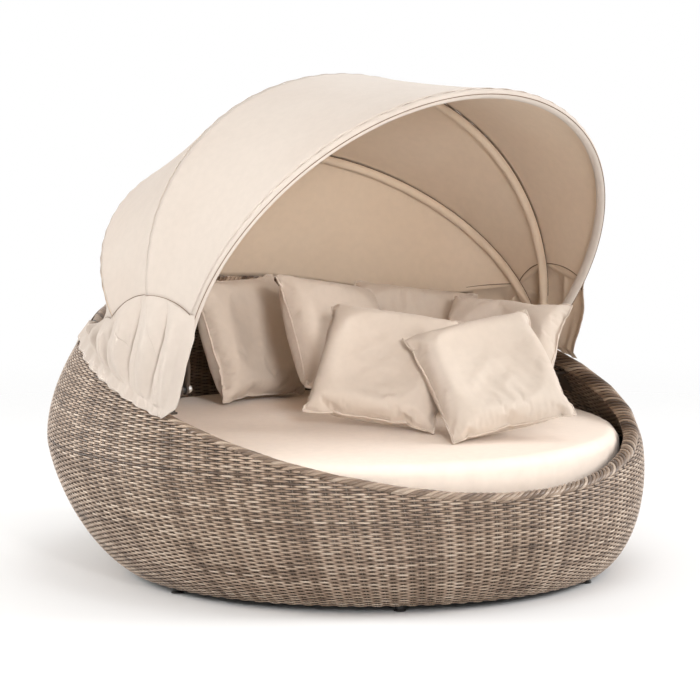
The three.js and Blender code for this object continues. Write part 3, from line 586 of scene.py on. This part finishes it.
def rim_braid():
    """The twisted border of the rim and its core. Each of n strands winds round an oval section
    as it goes along the rim: at the angle a, strand k is at k / n + turns * a / 2 pi of the way
    round the oval."""
    t = np.arange(BRAID_TURNS * PER_TURN) / (BRAID_TURNS * PER_TURN)
    angle = 2 * np.pi * t
    p, outward, along = wall_frame(angle, wall_top(angle))
    centre = p - outward * (WALL_DEPTH / 2) + along * (BRAID_H * 0.42)
    core_w, core_h = BRAID_W / 2 - 0.0045, BRAID_H / 2 + 0.0005
    w, h = STRAND_W, STRAND_H
    section = ((-w, -0.0014), (-w * 0.62, h * 0.7), (0, h), (w * 0.62, h * 0.7), (w, -0.0014),
               (0, -h))
    n, stations, lots = len(section), len(t), 14
    parts, tones, uvs = [], [], []
    r = np.random.default_rng(21)
    for k in range(BRAID_STRANDS):
        turn = 2 * np.pi * (k / BRAID_STRANDS + BRAID_TURNS * t)
        swell = 1 + 0.06 * np.sin(BRAID_TURNS * 4 * np.pi * t + k)
        path = (centre + outward * (np.cos(turn) * core_w * swell)[:, None]
                + along * (np.sin(turn) * core_h * swell)[:, None])
        tangent = np.roll(path, -1, 0) - np.roll(path, 1, 0)
        tangent /= np.linalg.norm(tangent, axis=1, keepdims=True)
        out = (outward * (np.cos(turn) / core_w)[:, None]
               + along * (np.sin(turn) / core_h)[:, None])
        out -= tangent * np.sum(out * tangent, 1, keepdims=True)
        out /= np.linalg.norm(out, axis=1, keepdims=True)
        side = np.cross(tangent, out)
        ring = np.stack([path + side * x + out * y for x, y in section], 1)
        parts.append((ring.reshape(-1, 3), grid_faces(stations, n, True, True)))
        cuts = np.sort(r.integers(0, stations, lots))
        lot = np.searchsorted(cuts, np.arange(stations), side="right") % lots
        tones.append(np.repeat(np.clip(r.normal(0.5, 0.24, lots), 0, 1)[lot], n))
        uvs.append(np.stack([np.repeat(t * 60, n),
                             np.tile(np.arange(n) * 0.8, stations) + k * 5], -1))
    points, faces = joined(parts)
    settle(mesh_object("Rim braid strands", points, faces, braid_rattan,
                       tone=np.concatenate(tones), uv=np.concatenate(uvs)),
           "rim_braid")
    # the core is near-black: painted shade where it shows between the strands
    core = around(centre[::4], outward[::4], along[::4], core_w - 0.001, 12, core_h - 0.001)
    settle(mesh_object("Rim braid core", core, grid_faces(len(core), 12, True, True),
                       painted_shade_rattan))


rim_braid()


# ---- bows and canopy
def smooth_step(t):
    """0 below 0, 1 above 1, and 3 t^2 - 2 t^3 between them."""
    t = np.clip(t, 0, 1)
    return t * t * (3 - 2 * t)


def bow_shape(i):
    """A bow's half span at its eyes, the half width and half height of its ellipse, and the
    height of the ellipse's middle over the pivot line, which it crosses at the eyes."""
    half = SPANS[i] + BULGES[i]
    ratio = math.sqrt(1 - (SPANS[i] / half) ** 2)
    arch = REACHES[i] / (1 + ratio)
    return SPANS[i], half, arch, ratio * arch


def pivot_point(x, reach, angle):
    """Point at x, at a reach from the pivot line and at an angle round it from the front."""
    a = np.asarray(angle, float) * DEG
    x, reach, a = np.broadcast_arrays(x, reach, a)
    return np.stack([x, PIVOT_Y - reach * np.cos(a), PIVOT_Z + reach * np.sin(a)], -1)


def pivot_angle(p):
    """Angle of points round the pivot line, in degrees from the front."""
    return np.degrees(np.arctan2(p[..., 2] - PIVOT_Z, PIVOT_Y - p[..., 1]))


def bow_point(i, turn):
    """Point of a bow's middle line at a turn from its top: half width * sin(turn) to the side
    and middle + half height * cos(turn) from the pivot line. Over the neck a smooth step leads
    from this ellipse to a straight leg at the eye."""
    eye_x, half, arch, middle = bow_shape(i)
    turn = np.asarray(turn, float)
    reach = middle + arch * np.cos(turn)
    share = smooth_step((reach - NECK_0) / (NECK_1 - NECK_0))
    eye = np.sign(turn) * eye_x
    return pivot_point(eye + (half * np.sin(turn) - eye) * share, reach, ANGLES[i])


def turn_at_reach(i, reach):
    """Turn at which a bow is at a reach from the pivot line."""
    arch, middle = bow_shape(i)[2:]
    return math.acos((reach - middle) / arch)


def seam_turn(i, share):
    """Turn at a share of the way along a bow's seam, from the left end to the right one."""
    return (2 * np.asarray(share) - 1) * turn_at_reach(i, SEAM_REACH)


def bow_tangent(i, turn):
    """Direction of a bow's middle line."""
    d = bow_point(i, turn + 1e-3) - bow_point(i, turn - 1e-3)
    return d / np.linalg.norm(d, axis=-1, keepdims=True)


def stand_off(a, b, edge, distance):
    """Step of this length across the lines from a to b and the edge, away from the pivots."""
    n = np.cross(b - a, edge)
    n /= np.linalg.norm(n, axis=-1, keepdims=True)
    away = np.sum(n * (a - np.array([0, PIVOT_Y, PIVOT_Z])), -1, keepdims=True)
    return np.where(away < 0, -n, n) * distance


def rim_seat(angle, layers):
    """Point over the border's middle, some layers of cloth above it."""
    rise = BRAID_H + 0.0009 + layers * CLOTH
    return wall_point(angle, wall_top(angle), WALL_DEPTH / 2, rise)


def sagged(p, off, v, u, depth, seed):
    """Cloth drawn tight over a span sinks a little between its two bows, by depth * 4 v (1 - v),
    and has faint creases that fade towards the middle. Its two ends stay where they are."""
    n = off / (np.linalg.norm(off, axis=-1, keepdims=True) + 1e-12)
    belly = 4 * v * (1 - v)
    crease = ripple(p, 0.30, seed) * 0.0016 * belly ** 0.5
    pull = 0.0011 * np.sin(2 * np.pi * (u * 34 + 0.15 * np.sin(9 * u)))
    pull = pull * np.exp(-np.minimum(v, 1 - v) / 0.10)
    free = 1 - np.exp(-(np.minimum(u, 1 - u) / 0.035) ** 2)
    return p - n * (free * (depth * belly - crease - pull))[..., None]


def blended(obj, weights):
    """Bake the object's transform into its mesh. The weights, one per vertex, are not used."""
    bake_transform(obj)


def fan(obj, a, b, start, end):
    """Work out each point's share of the way round the pivot line from the angle start to the angle
    end and pass it to blended, which only bakes the transform. The bodies a and b are not used."""
    co = np.zeros(len(obj.data.vertices) * 3)
    obj.data.vertices.foreach_get("co", co)
    angle = pivot_angle(co.reshape(-1, 3))
    angle = np.where(angle < -90, angle + 360, angle)
    blended(obj, np.clip((angle - start) / (end - start), 0, 1))


def canopy_panel(i, word, bodies, end, depth, seed):
    """Cloth from bow i to the next one, or to the rim at the back: the straight line from each
    point of one seam to the same share of the other, stood off the bows and sagged."""
    u, v = np.broadcast_arrays(np.linspace(0, 1, COLUMNS + 1)[None, :],
                               np.linspace(0, 1, ROWS + 1)[:, None])
    turn = seam_turn(i, u)
    a = bow_point(i, turn)
    if i < 2:
        b = bow_point(i + 1, seam_turn(i + 1, u))
        off = stand_off(a, b, bow_tangent(i, turn), STAND)
        b = b + off
    else:
        b = rim_seat(np.pi - (2 * u - 1) * (np.pi - REAR_END * DEG), 1)
        off = stand_off(a, b, bow_tangent(i, turn), STAND)
    p = a + off + (b - a - off) * v[..., None]
    p = sagged(p, off, v, u, depth, seed)
    if turned_from(p, off):
        p = p[:, ::-1]
    obj = settle(slab(f"{word} canopy panel", p), f"{word.lower()}_panel", None)
    fan(obj, *bodies, ANGLES[i], end)


canopy_panel(0, "Front", (FRONT, SECOND), ANGLES[1], 0.010, 3)
canopy_panel(1, "Middle", (SECOND, THIRD), ANGLES[2], 0.008, 4)
canopy_panel(2, "Rear", (THIRD, ROOT), REAR_FAN, 0.008, 5)


def sleeve(i, name, node, body, cloth_used):
    """The sewn tunnel round a bow: circles along the bow that narrow down its legs by a smooth
    step, with faint gathers, and two dark seam cords of painted shade along its outer side."""
    u = np.linspace(-1, 1, 181)
    turn_along = u * turn_at_reach(i, LEG_REACH)
    path = bow_point(i, turn_along)
    across = pivot_point(0, 1, ANGLES[i] - 90) - pivot_point(0, 0, 0)
    out = np.cross(bow_tangent(i, turn_along), across)
    out /= np.linalg.norm(out, axis=-1, keepdims=True)
    sides = 18
    turn = 2 * np.pi * np.arange(sides) / sides
    reach = np.hypot(path[:, 1] - PIVOT_Y, path[:, 2] - PIVOT_Z)
    girth = LEG_GIRTH + (SLEEVE_R - LEG_GIRTH) * smooth_step((reach - LEG_REACH) / LEG_TAPER)
    girth = girth[:, None]
    gathered = girth * (1 + 0.012 * np.sin(20 * np.pi * u)[:, None] * np.sin(3 * turn)[None])
    ring = path[:, None] + gathered[..., None] * (
        np.cos(turn)[None, :, None] * out[:, None] + np.sin(turn)[None, :, None] * across)
    faces = grid_faces(len(u), sides, True)[:, ::-1]
    settle(mesh_object(name, ring, faces, cloth_used), node, body)
    # the cords are dark: painted shade along the seam
    for k, place in enumerate((np.pi - 1.05, np.pi + 1.05)):
        line = path + (girth + 0.0003) * (np.cos(place) * out + np.sin(place) * across)
        points, faces = tube(line[5:-5], 0.0014, 5)
        settle(mesh_object(f"{name} seam {k + 1}", points, faces, seam_painted_shade_cloth),
               body=body)


sleeve(0, "Front hem sleeve", "front_sleeve", FRONT, canopy_out)
# the second and third sleeves take the cloth brightened as painted light through the canvas
sleeve(1, "Second bow sleeve", "second_sleeve", SECOND, canopy_in_painted_light)
sleeve(2, "Third bow sleeve", "third_sleeve", THIRD, canopy_in_painted_light)


# ---- side skirts and rear band
def seam_stops():
    """Shares of the way along the skirt's seam at which the bows cross it."""
    p = [bow_point(i, turn_at_reach(i, SEAM_REACH)) for i in range(3)]
    p.append(rim_seat(SKIRT_END * DEG, 2.2))
    run = np.concatenate([[0], np.cumsum(np.linalg.norm(np.diff(p, axis=0), axis=1))])
    return run / run[-1]


STOPS = seam_stops()


def skirt_seam(i, v, layers=1.0):
    """The seam of the skirt over the panel that starts at bow i, at v across the panel: a line
    on the panel that bulges up by a parabola in v, on the outside of the cloth."""
    share = SEAM_SHARE + SEAM_ARC * 4 * v * (1 - v)
    turn = -seam_turn(i, share)
    a = bow_point(i, turn)
    if i < 2:
        b = bow_point(i + 1, -seam_turn(i + 1, share))
    else:
        b = rim_seat((REAR_END + 2 * share * (180 - REAR_END)) * DEG, 1)
    off = stand_off(a, b, bow_tangent(i, turn), STAND + layers * (CLOTH + 0.0006))
    if i < 2:
        b = b + off
    else:
        b = b + np.array([0.003, 0, 0.002])
    return a + off + (b - a - off) * v[..., None]


def on_seam(u):
    """The point of the skirt's seam at the share u of its length."""
    p = np.zeros(u.shape + (3,))
    for i in range(3):
        here = (u >= STOPS[i]) & (u <= STOPS[i + 1])
        v = np.clip((u - STOPS[i]) / (STOPS[i + 1] - STOPS[i]), 0, 1)
        p = np.where(here[..., None], skirt_seam(i, v), p)
    return p


def folded_turn(p):
    """Degrees by which the canopy turns a point on it when it is folded, from its angle round
    the pivot line."""
    return np.interp(pivot_angle(p), (*ANGLES, REAR_FAN), (*TURNS, 0.0))


def skirt_points(u, w, tip):
    """The skirt at u along its seam and w down it: the straight line from the seam to the rim,
    swelled outwards with folds that fan out from the tip, then down over the braid to the hem.
    The folds are waves of u with sharp valleys."""
    angle = (tip + (SKIRT_END - tip) * u ** 1.5) * DEG
    over = np.full_like(angle, -(BRAID_W - WALL_DEPTH) / 2 - SKIRT_OFF)
    top = on_seam(u)
    corner = wall_point(angle, wall_top(angle), over, np.full_like(angle, BRAID_H))
    hem = wall_point(angle, wall_top(angle), over, BRAID_H - SKIRT_DROP * (0.5 + 0.5 * u))
    s = np.clip(w / HEM_SHARE, 0, 1)
    down = np.clip((w - HEM_SHARE) / (1 - HEM_SHARE), 0, 1)[..., None]
    p = np.where(w[..., None] > HEM_SHARE, corner + (hem - corner) * down,
                 top + (corner - top) * s[..., None])
    swell = np.sin(np.pi * s) ** 0.8 * (w <= HEM_SHARE)
    phase = 2 * np.pi * FOLDS * (u + 0.035 * np.sin(5 * u + 3 * s))
    folds = 1.7 * np.abs(np.sin(phase / 2)) ** 0.7 - 1
    folds += 0.40 * np.sin(2 * phase + 1.3 + 2.2 * s) * s
    p[..., 0] += swell * (SKIRT_OFF + FOLD_DEPTH * folds)
    p[..., 1] += swell * 0.004 * np.cos(phase + 2 * s)
    hang = np.clip((w - 0.5) / 0.5, 0, 1)
    p[..., 0] += 0.0045 * hang * np.sin(1.5 * phase + 0.6)
    wrinkle = ripple(p * [1, 1.6, 0.8], 0.11, 8) * 0.0042
    p[..., 0] += wrinkle * np.sin(np.pi * np.clip(s, 0.1, 0.95))
    return p


def skirt_part(side, word, k):
    """The part of a skirt whose points would turn between TURNS[k] and TURNS[k + 1] when the canopy
    folds. A point at u and w would turn by top(u) (1 - slack(u) w), where top is what the canopy
    does at the seam and slack grows to 1 from the front edge, so the hem would stay on the rim.
    These turns only set the part's extent and the weights passed to blended, which bakes the
    transform."""
    low, high = (*TURNS, 0.0)[k + 1], TURNS[k]
    name = f"{word} skirt {('front', 'middle', 'rear')[k]}"
    u = np.linspace(-FLAP_SHARE, 1, 200)
    top = folded_turn(on_seam(np.clip(u, 0, 1)))
    slack = RIGHT_SLACK if side > 0 else LEFT_SLACK
    slack = slack + (1 - slack) * smooth_step(u / SLACK_REACH)
    first = np.clip((1 - high / top.clip(1e-6)) / slack, 0, 1)
    last = np.clip((1 - low / top.clip(1e-6)) / slack, 0, 1) if low else np.ones_like(u)
    used = np.flatnonzero(last - first > 0.002)
    used = np.arange(max(used[0] - 1, 0), min(used[-1] + 2, len(u)))
    w = first[used] + (last - first)[used] * np.linspace(0, 1, 44)[:, None]
    along = np.broadcast_to(u[used], w.shape)
    p = skirt_points(np.clip(along, 0, 1), w, SKIRT_TIP + (RIGHT_TIP_BACK if side > 0 else 0))
    flap = FLAP * np.clip(-along / FLAP_SHARE, 0, 1)
    flap *= np.clip((1 - w) / 0.22, 0, 1) * np.clip(0.3 + 3.5 * w, 0, 1)
    p += flap[..., None] * np.array([-0.55, -0.85, 0.0])
    p[..., 0] *= side
    turn = top[used] * (1 - slack[used] * w)
    if turned_from(p, [side, 0, 0]):
        p, turn = p[:, ::-1], turn[:, ::-1]
    obj = settle(slab(name, p), f"{word.lower()}_skirt", None)

    def weights(turn):
        return np.clip((high - turn) / (high - low), 0, 1).ravel()

    blended(obj, np.tile(weights(turn), 2))
    flat = np.ptp(p[..., 1:].reshape(-1, 2) @ [[0.6, -0.8], [0.8, 0.6]], axis=0)
    # dark cords along the seam: painted shade in its crease
    for layers, place, radius in ((1.6, "outside", 0.0010), (-1.0, "inside", 0.0016)):
        seam = skirt_seam(k, np.linspace(0, 1, 60), layers)
        cord_weights = weights(folded_turn(seam))
        points, faces = tube(seam * [side, 1, 1], radius, 5)
        cord = mesh_object(f"{name} {place} seam", points, faces, seam_painted_shade_cloth)
        blended(cord, np.repeat(cord_weights, 5))


for side, word in ((1, "Right"), (-1, "Left")):
    for k in range(3):
        skirt_part(side, word, k)


def rear_band():
    """The band of cloth round the back: the wall's surface just under the braid, stood off the
    weave and faintly waved."""
    half = np.pi / 3
    angle = np.linspace(np.pi - half, np.pi + half, 141)[None, :]
    z = wall_top(angle) - BAND_DOWN - BAND_H * np.linspace(0, 1, 12)[:, None]
    outward = wall_frame(angle, z)[1]
    p = wall_point(np.broadcast_to(angle, z.shape), z, np.full(z.shape, -BAND_OUT))
    p = p + (ripple(p, 0.25, 12) * 0.0009)[..., None] * outward
    if turned_from(p, outward):
        p = p[:, ::-1]
    band = settle(slab("Rear valance", p), "rear_valance")


rear_band()


# ---- cushions
def inflate(obj, pressure, frames, stiffness):
    """Blow a closed mesh up as cloth, with no gravity, and return its points."""
    modifier = obj.modifiers.new("Cloth", "CLOTH")
    s = modifier.settings
    s.quality = 6
    s.mass = 0.3
    s.tension_stiffness = s.compression_stiffness = stiffness
    s.shear_stiffness = stiffness * 0.4
    s.bending_stiffness = 0.35
    s.use_pressure = True
    s.uniform_pressure_force = pressure
    s.shrink_min = 0.0
    s.effector_weights.gravity = 0
    s.air_damping = 3
    modifier.collision_settings.use_collision = False
    modifier.point_cache.frame_start, modifier.point_cache.frame_end = 1, frames
    scene = bpy.context.scene
    for f in range(1, frames + 1):
        scene.frame_set(f)
    new = bpy.data.meshes.new_from_object(obj.evaluated_get(bpy.context.evaluated_depsgraph_get()))
    out = np.zeros(len(new.vertices) * 3)
    new.vertices.foreach_get("co", out)
    bpy.data.meshes.remove(new)
    scene.frame_set(1)
    return out.reshape(-1, 3)


def pillow_grid(count, half, depth, pull):
    """A square pillow as two grids that share their edge, crowned by ((1 - a^2) (1 - b^2))^0.45
    and with sides pulled in between the corners. Returns its points, quads, the loop of edge
    points and each point's place (a, b) on the square, from -1 to 1."""
    g = np.linspace(-1, 1, count + 1)
    a, b = np.meshgrid(g, g, indexing="ij")
    fill = ((1 - a * a) * (1 - b * b)) ** 0.45
    x = half * a - pull * (1 - b * b) * a
    z = half * b - pull * (1 - a * a) * b
    front = np.stack([x, -depth / 2 * fill, z], -1).reshape(-1, 3)
    back = np.stack([x, depth / 2 * fill, z], -1).reshape(-1, 3)
    line = count + 1
    index = np.arange(line * line).reshape(line, line)
    edge = np.zeros((line, line), bool)
    edge[0] = edge[-1] = edge[:, 0] = edge[:, -1] = True
    other = np.where(edge.ravel(), np.arange(line * line), -1)
    inner = np.flatnonzero(~edge.ravel())
    other[inner] = line * line + np.arange(len(inner))
    f = grid_faces(line, line)
    faces = np.concatenate([f, other[f][:, ::-1]])
    points = np.concatenate([front, back[inner]])
    loop = np.concatenate([index[:-1, 0], index[-1, :-1], index[:0:-1, -1], index[0, :0:-1]])
    square = np.stack([a.ravel(), b.ravel()], -1)
    return points, faces, loop, np.concatenate([square, square[inner]])


def puckers(square, seed):
    """Short creases across the seams: waves along each edge that die out away from it, with a
    height and a reach that vary along the edge."""
    r = np.random.default_rng(seed)
    total = np.zeros(len(square))
    for k in range(4):
        along, across = square[:, k % 2], square[:, 1 - k % 2] * (1 if k < 2 else -1)
        phase = 60 * along + 2.5 * np.sin(5 * along + r.uniform(0, 6)) + r.uniform(0, 6)
        vary = 0.55 + 0.45 * np.sin(7 * along + r.uniform(0, 6))
        fade = np.exp(-(1 - across) / (0.05 + 0.09 * vary)) * (1 - along ** 6)
        total += np.sin(phase + 4 * across) * vary * fade
    return total * 0.0022 * np.clip((1 - np.abs(square).max(1)) / 0.04, 0, 1)


def cushion_shape(seed):
    """A stuffed cushion: two square faces sewn at the edge and blown up as cloth, then brought
    to the CAD cushion's size."""
    points, faces, loop, square = pillow_grid(84, CUSHION / 2 + 0.016, 0.055, 0.0)
    r = np.random.default_rng(seed)
    points[:, 1] *= 1 + ripple(points, 0.16, seed) * 0.175
    points[:, [0, 2]] += r.normal(0, 0.0004, (len(points), 2))
    cover = mesh_object("Cushion trial", points, faces, scatter_cloth)
    points = inflate(cover, 5.0 + r.uniform(-0.4, 0.4), 24, 12)
    bpy.data.objects.remove(cover)
    low, high = points.min(0), points.max(0)
    points = (points - (low + high) / 2) * ([CUSHION, CUSHION_DEPTH, CUSHION] / (high - low))
    points[:, 1] += np.sign(points[:, 1]) * puckers(square, seed)
    return points, faces, loop


def rotation(turn, lean, slant):
    """Matrix that slants a cushion in its own plane, leans it back and turns it round an upright
    axis, in that order, by angles in degrees."""
    cx, sx = math.cos(-lean * DEG), math.sin(-lean * DEG)
    cy, sy = math.cos(-slant * DEG), math.sin(-slant * DEG)
    cz, sz = math.cos(turn * DEG), math.sin(turn * DEG)
    rx = np.array([[1, 0, 0], [0, cx, -sx], [0, sx, cx]])
    ry = np.array([[cy, 0, sy], [0, 1, 0], [-sy, 0, cy]])
    rz = np.array([[cz, -sz, 0], [sz, cz, 0], [0, 0, 1]])
    return rz @ rx @ ry


def scatter_cushion(i, shape, place):
    """Cushion i: one of the shapes, turned by quarters in its own plane so that no two look the
    same, set at the CAD cushion's angles and middle, with piping round its edge."""
    base, faces, loop = shape
    turned = base @ rotation(0, 0, 90 * (i // 3 + i % 2)).T @ rotation(*place).T
    low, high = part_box(f"scatter_cushion_{i + 1}")
    placed = turned + (np.array(low) + np.array(high) - turned.max(0) - turned.min(0)) / 2
    name = f"Scatter cushion {i + 1}"
    cushion = settle(mesh_object(name, placed, faces, scatter_cloth),
                     f"scatter_cushion_{i + 1}")
    sub = cushion.modifiers.new("Smooth", "SUBSURF")
    sub.levels = sub.render_levels = 1
    points, faces = tube(placed[loop], 0.0030, 8, closed=True)
    settle(mesh_object(f"{name} piping", points, faces, piping_cloth))


shapes = [cushion_shape(40 + k) for k in range(3)]
for i, place in enumerate(PLACES):
    scatter_cushion(i, shapes[i % 3], place)


def seat_pad():
    """The thick round seat cushion: its profile, a flat bottom, a full side with rounded edges
    and a crowned top, turned round an upright axis, with soft dents and pulls."""
    side = SEAT_R + 0.003
    inner, low_round, high_round = side - 0.040, 0.024, 0.040
    arc = np.linspace(0, np.pi / 2, 9)
    low = np.stack([side - low_round * (1 - np.sin(arc)),
                    SEAT_BOTTOM + low_round * (1 - np.cos(arc))], -1)
    high = np.stack([inner + high_round * np.sin(arc[::-1]),
                     SEAT_TOP - high_round * (1 - np.cos(arc[::-1]))], -1)
    t = np.linspace(0, 1, 9)[1:-1]
    waist = np.stack([side + 0.002 * np.sin(np.pi * t),
                      low[-1, 1] + (high[0, 1] - low[-1, 1]) * t], -1)
    s = np.linspace(1, 0.002, 60)[1:]
    crown = np.stack([inner * s, SEAT_TOP + SEAT_CROWN * (1 - s * s)], -1)
    under = np.stack([np.linspace(0.01, side - low_round, 8)[:-1], np.full(7, SEAT_BOTTOM)], -1)
    profile = np.concatenate([under, low, waist, high, crown])
    count = 200
    a = 2 * np.pi * np.arange(count) / count
    p = np.stack([profile[:, None, 0] * np.sin(a), SEAT_Y - profile[:, None, 0] * np.cos(a),
                  np.broadcast_to(profile[:, None, 1], (len(profile), count))], -1)
    top = p[..., 2] > SEAT_BOTTOM + 0.02
    dent = ripple(p * [1, 1, 0.6], 0.85, 17, 2) * 0.0035 + ripple(p, 0.22, 18, 2) * 0.0007
    p[..., 2] += np.where(top, dent - 0.003, 0)
    edge = np.exp(-((profile[:, 0] - SEAT_R) / 0.03) ** 2)[:, None]
    pull = edge * (0.0016 * np.sin(a * 61) + 0.0012 * np.sin(a * 37 + 1))
    pull *= p[..., 2] > SEAT_BOTTOM + 0.03
    radial = np.stack([np.sin(a), -np.cos(a), np.zeros(count)], -1)
    p += (pull - 0.002 * edge)[..., None] * radial[None]
    # the seat's cloth is brightened as painted light against the canopy's shade
    pad = mesh_object("Seat cushion", p, grid_faces(len(profile), count, True), seat_cloth_painted_light)
    settle(pad, "seat_cushion")


seat_pad()

# ---- CAD pieces that stay
# the seat deck takes the near-black painted shade
FINISHES = (("bolt", steel), ("nut", steel), ("washer", steel), ("bush", glide),
            ("foot", glide), ("seat_deck", painted_shade_rattan))
for obj in bpy.data.objects:
    if obj.get("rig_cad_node") is not None and not obj.hide_render:
        finish = next((f for word, f in FINISHES if word in obj.name), frame_coat)
        for slot in obj.material_slots:
            slot.material = finish

# ---- floor, light and camera
floor_material, floor_shader, floor_at = new_material(
    "Floor", Base_Color=rgb((0.93,) * 3), Roughness=0.9, Specular_IOR_Level=0.1)
far = floor_at.node("ShaderNodeVectorMath", {"operation": "LENGTH"}, out=1, i0=floor_at)
link(1.0 - far.between(1.5, 5.5), floor_shader, "Alpha")
bpy.ops.mesh.primitive_plane_add(size=14, location=(0, 0, -0.0005))
floor = bpy.context.object
floor.name = "Floor"
floor.data.materials.append(floor_material)

scene = bpy.context.scene
world = scene.world or bpy.data.worlds.new("World")
scene.world = world
world.use_nodes = True
tree = world.node_tree
tree.nodes.clear()
rays = tree.nodes.new("ShaderNodeLightPath")
camera_ray, glossy_ray, through_ray = (
    Value(tree, rays.outputs[f"Is {kind} Ray"]) for kind in ("Camera", "Glossy", "Transmission"))
seen = camera_ray.maths("MAXIMUM", camera_ray, glossy_ray)
seen = seen.maths("MAXIMUM", seen, through_ray)
plain = seen.node("ShaderNodeBackground", Color=rgb((1.0, 0.985, 0.97)), Strength=0.66)
white = seen.node("ShaderNodeBackground", Color=rgb((1, 1, 1)), Strength=1.0)
mixed = seen.node("ShaderNodeMixShader", i0=seen, i1=plain, i2=white)
output = tree.nodes.new("ShaderNodeOutputWorld")
tree.links.new(mixed.socket, output.inputs["Surface"])


def area_light(name, place, target, size, energy, colour=(1, 1, 1)):
    """A round soft light at a place, aimed at a target."""
    data = bpy.data.lights.new(name, "AREA")
    data.shape, data.size, data.energy, data.color = "DISK", size, energy, colour
    obj = bpy.data.objects.new(name, data)
    obj.location = place
    obj.rotation_euler = (Vector(target) - Vector(place)).to_track_quat("-Z", "Y").to_euler()
    scene.collection.objects.link(obj)
    return obj


area_light("Key light", (-4.7, 3.5, 2.9), (0, 0, 0.5), 3.4, 228, (1.0, 0.99, 0.97))
area_light("Fill light", (-3.0, -5.0, 1.7), (0, 0, 0.6), 4.0, 26)
inner = area_light("Inner light", (-2.2, -4.4, 2.0), (-0.12, 0.42, 0.87), 1.0, 5.8)
inner.data.spread = 30 * DEG
area_light("Side light", (4.3, -3.5, 2.9), (0, 0, 0.6), 3.0, 208)
area_light("Top light", (0.6, -0.6, 6.0), (0, 0, 0.5), 4.0, 70)

# the photograph's camera as it was fitted: direction, distance, aim, focal length and the
# image's centre in pixels
AZIMUTH, ELEVATION, DISTANCE = -37.325 * DEG, 8.201 * DEG, 11.4
AIM = (0, 0.0069, 0.47025)
PICTURE, FOCAL, CENTRE_X, CENTRE_Y, SENSOR = 700, 3559.797, 345.118, 416.125, 36.0
back = Vector((math.sin(AZIMUTH) * math.cos(ELEVATION), -math.cos(AZIMUTH) * math.cos(ELEVATION),
               math.sin(ELEVATION)))
camera_data = bpy.data.cameras.new("Camera")
camera = bpy.data.objects.new("Camera", camera_data)
scene.collection.objects.link(camera)
camera.location = Vector(AIM) + back * DISTANCE
camera.rotation_euler = back.to_track_quat("Z", "Y").to_euler()
camera_data.sensor_width = SENSOR
camera_data.lens = FOCAL / PICTURE * SENSOR
camera_data.shift_x = (PICTURE / 2 - CENTRE_X) / PICTURE
camera_data.shift_y = (CENTRE_Y - PICTURE / 2) / PICTURE
camera_data.clip_end = 200
scene.camera = camera
scene.view_settings.view_transform = "Standard"
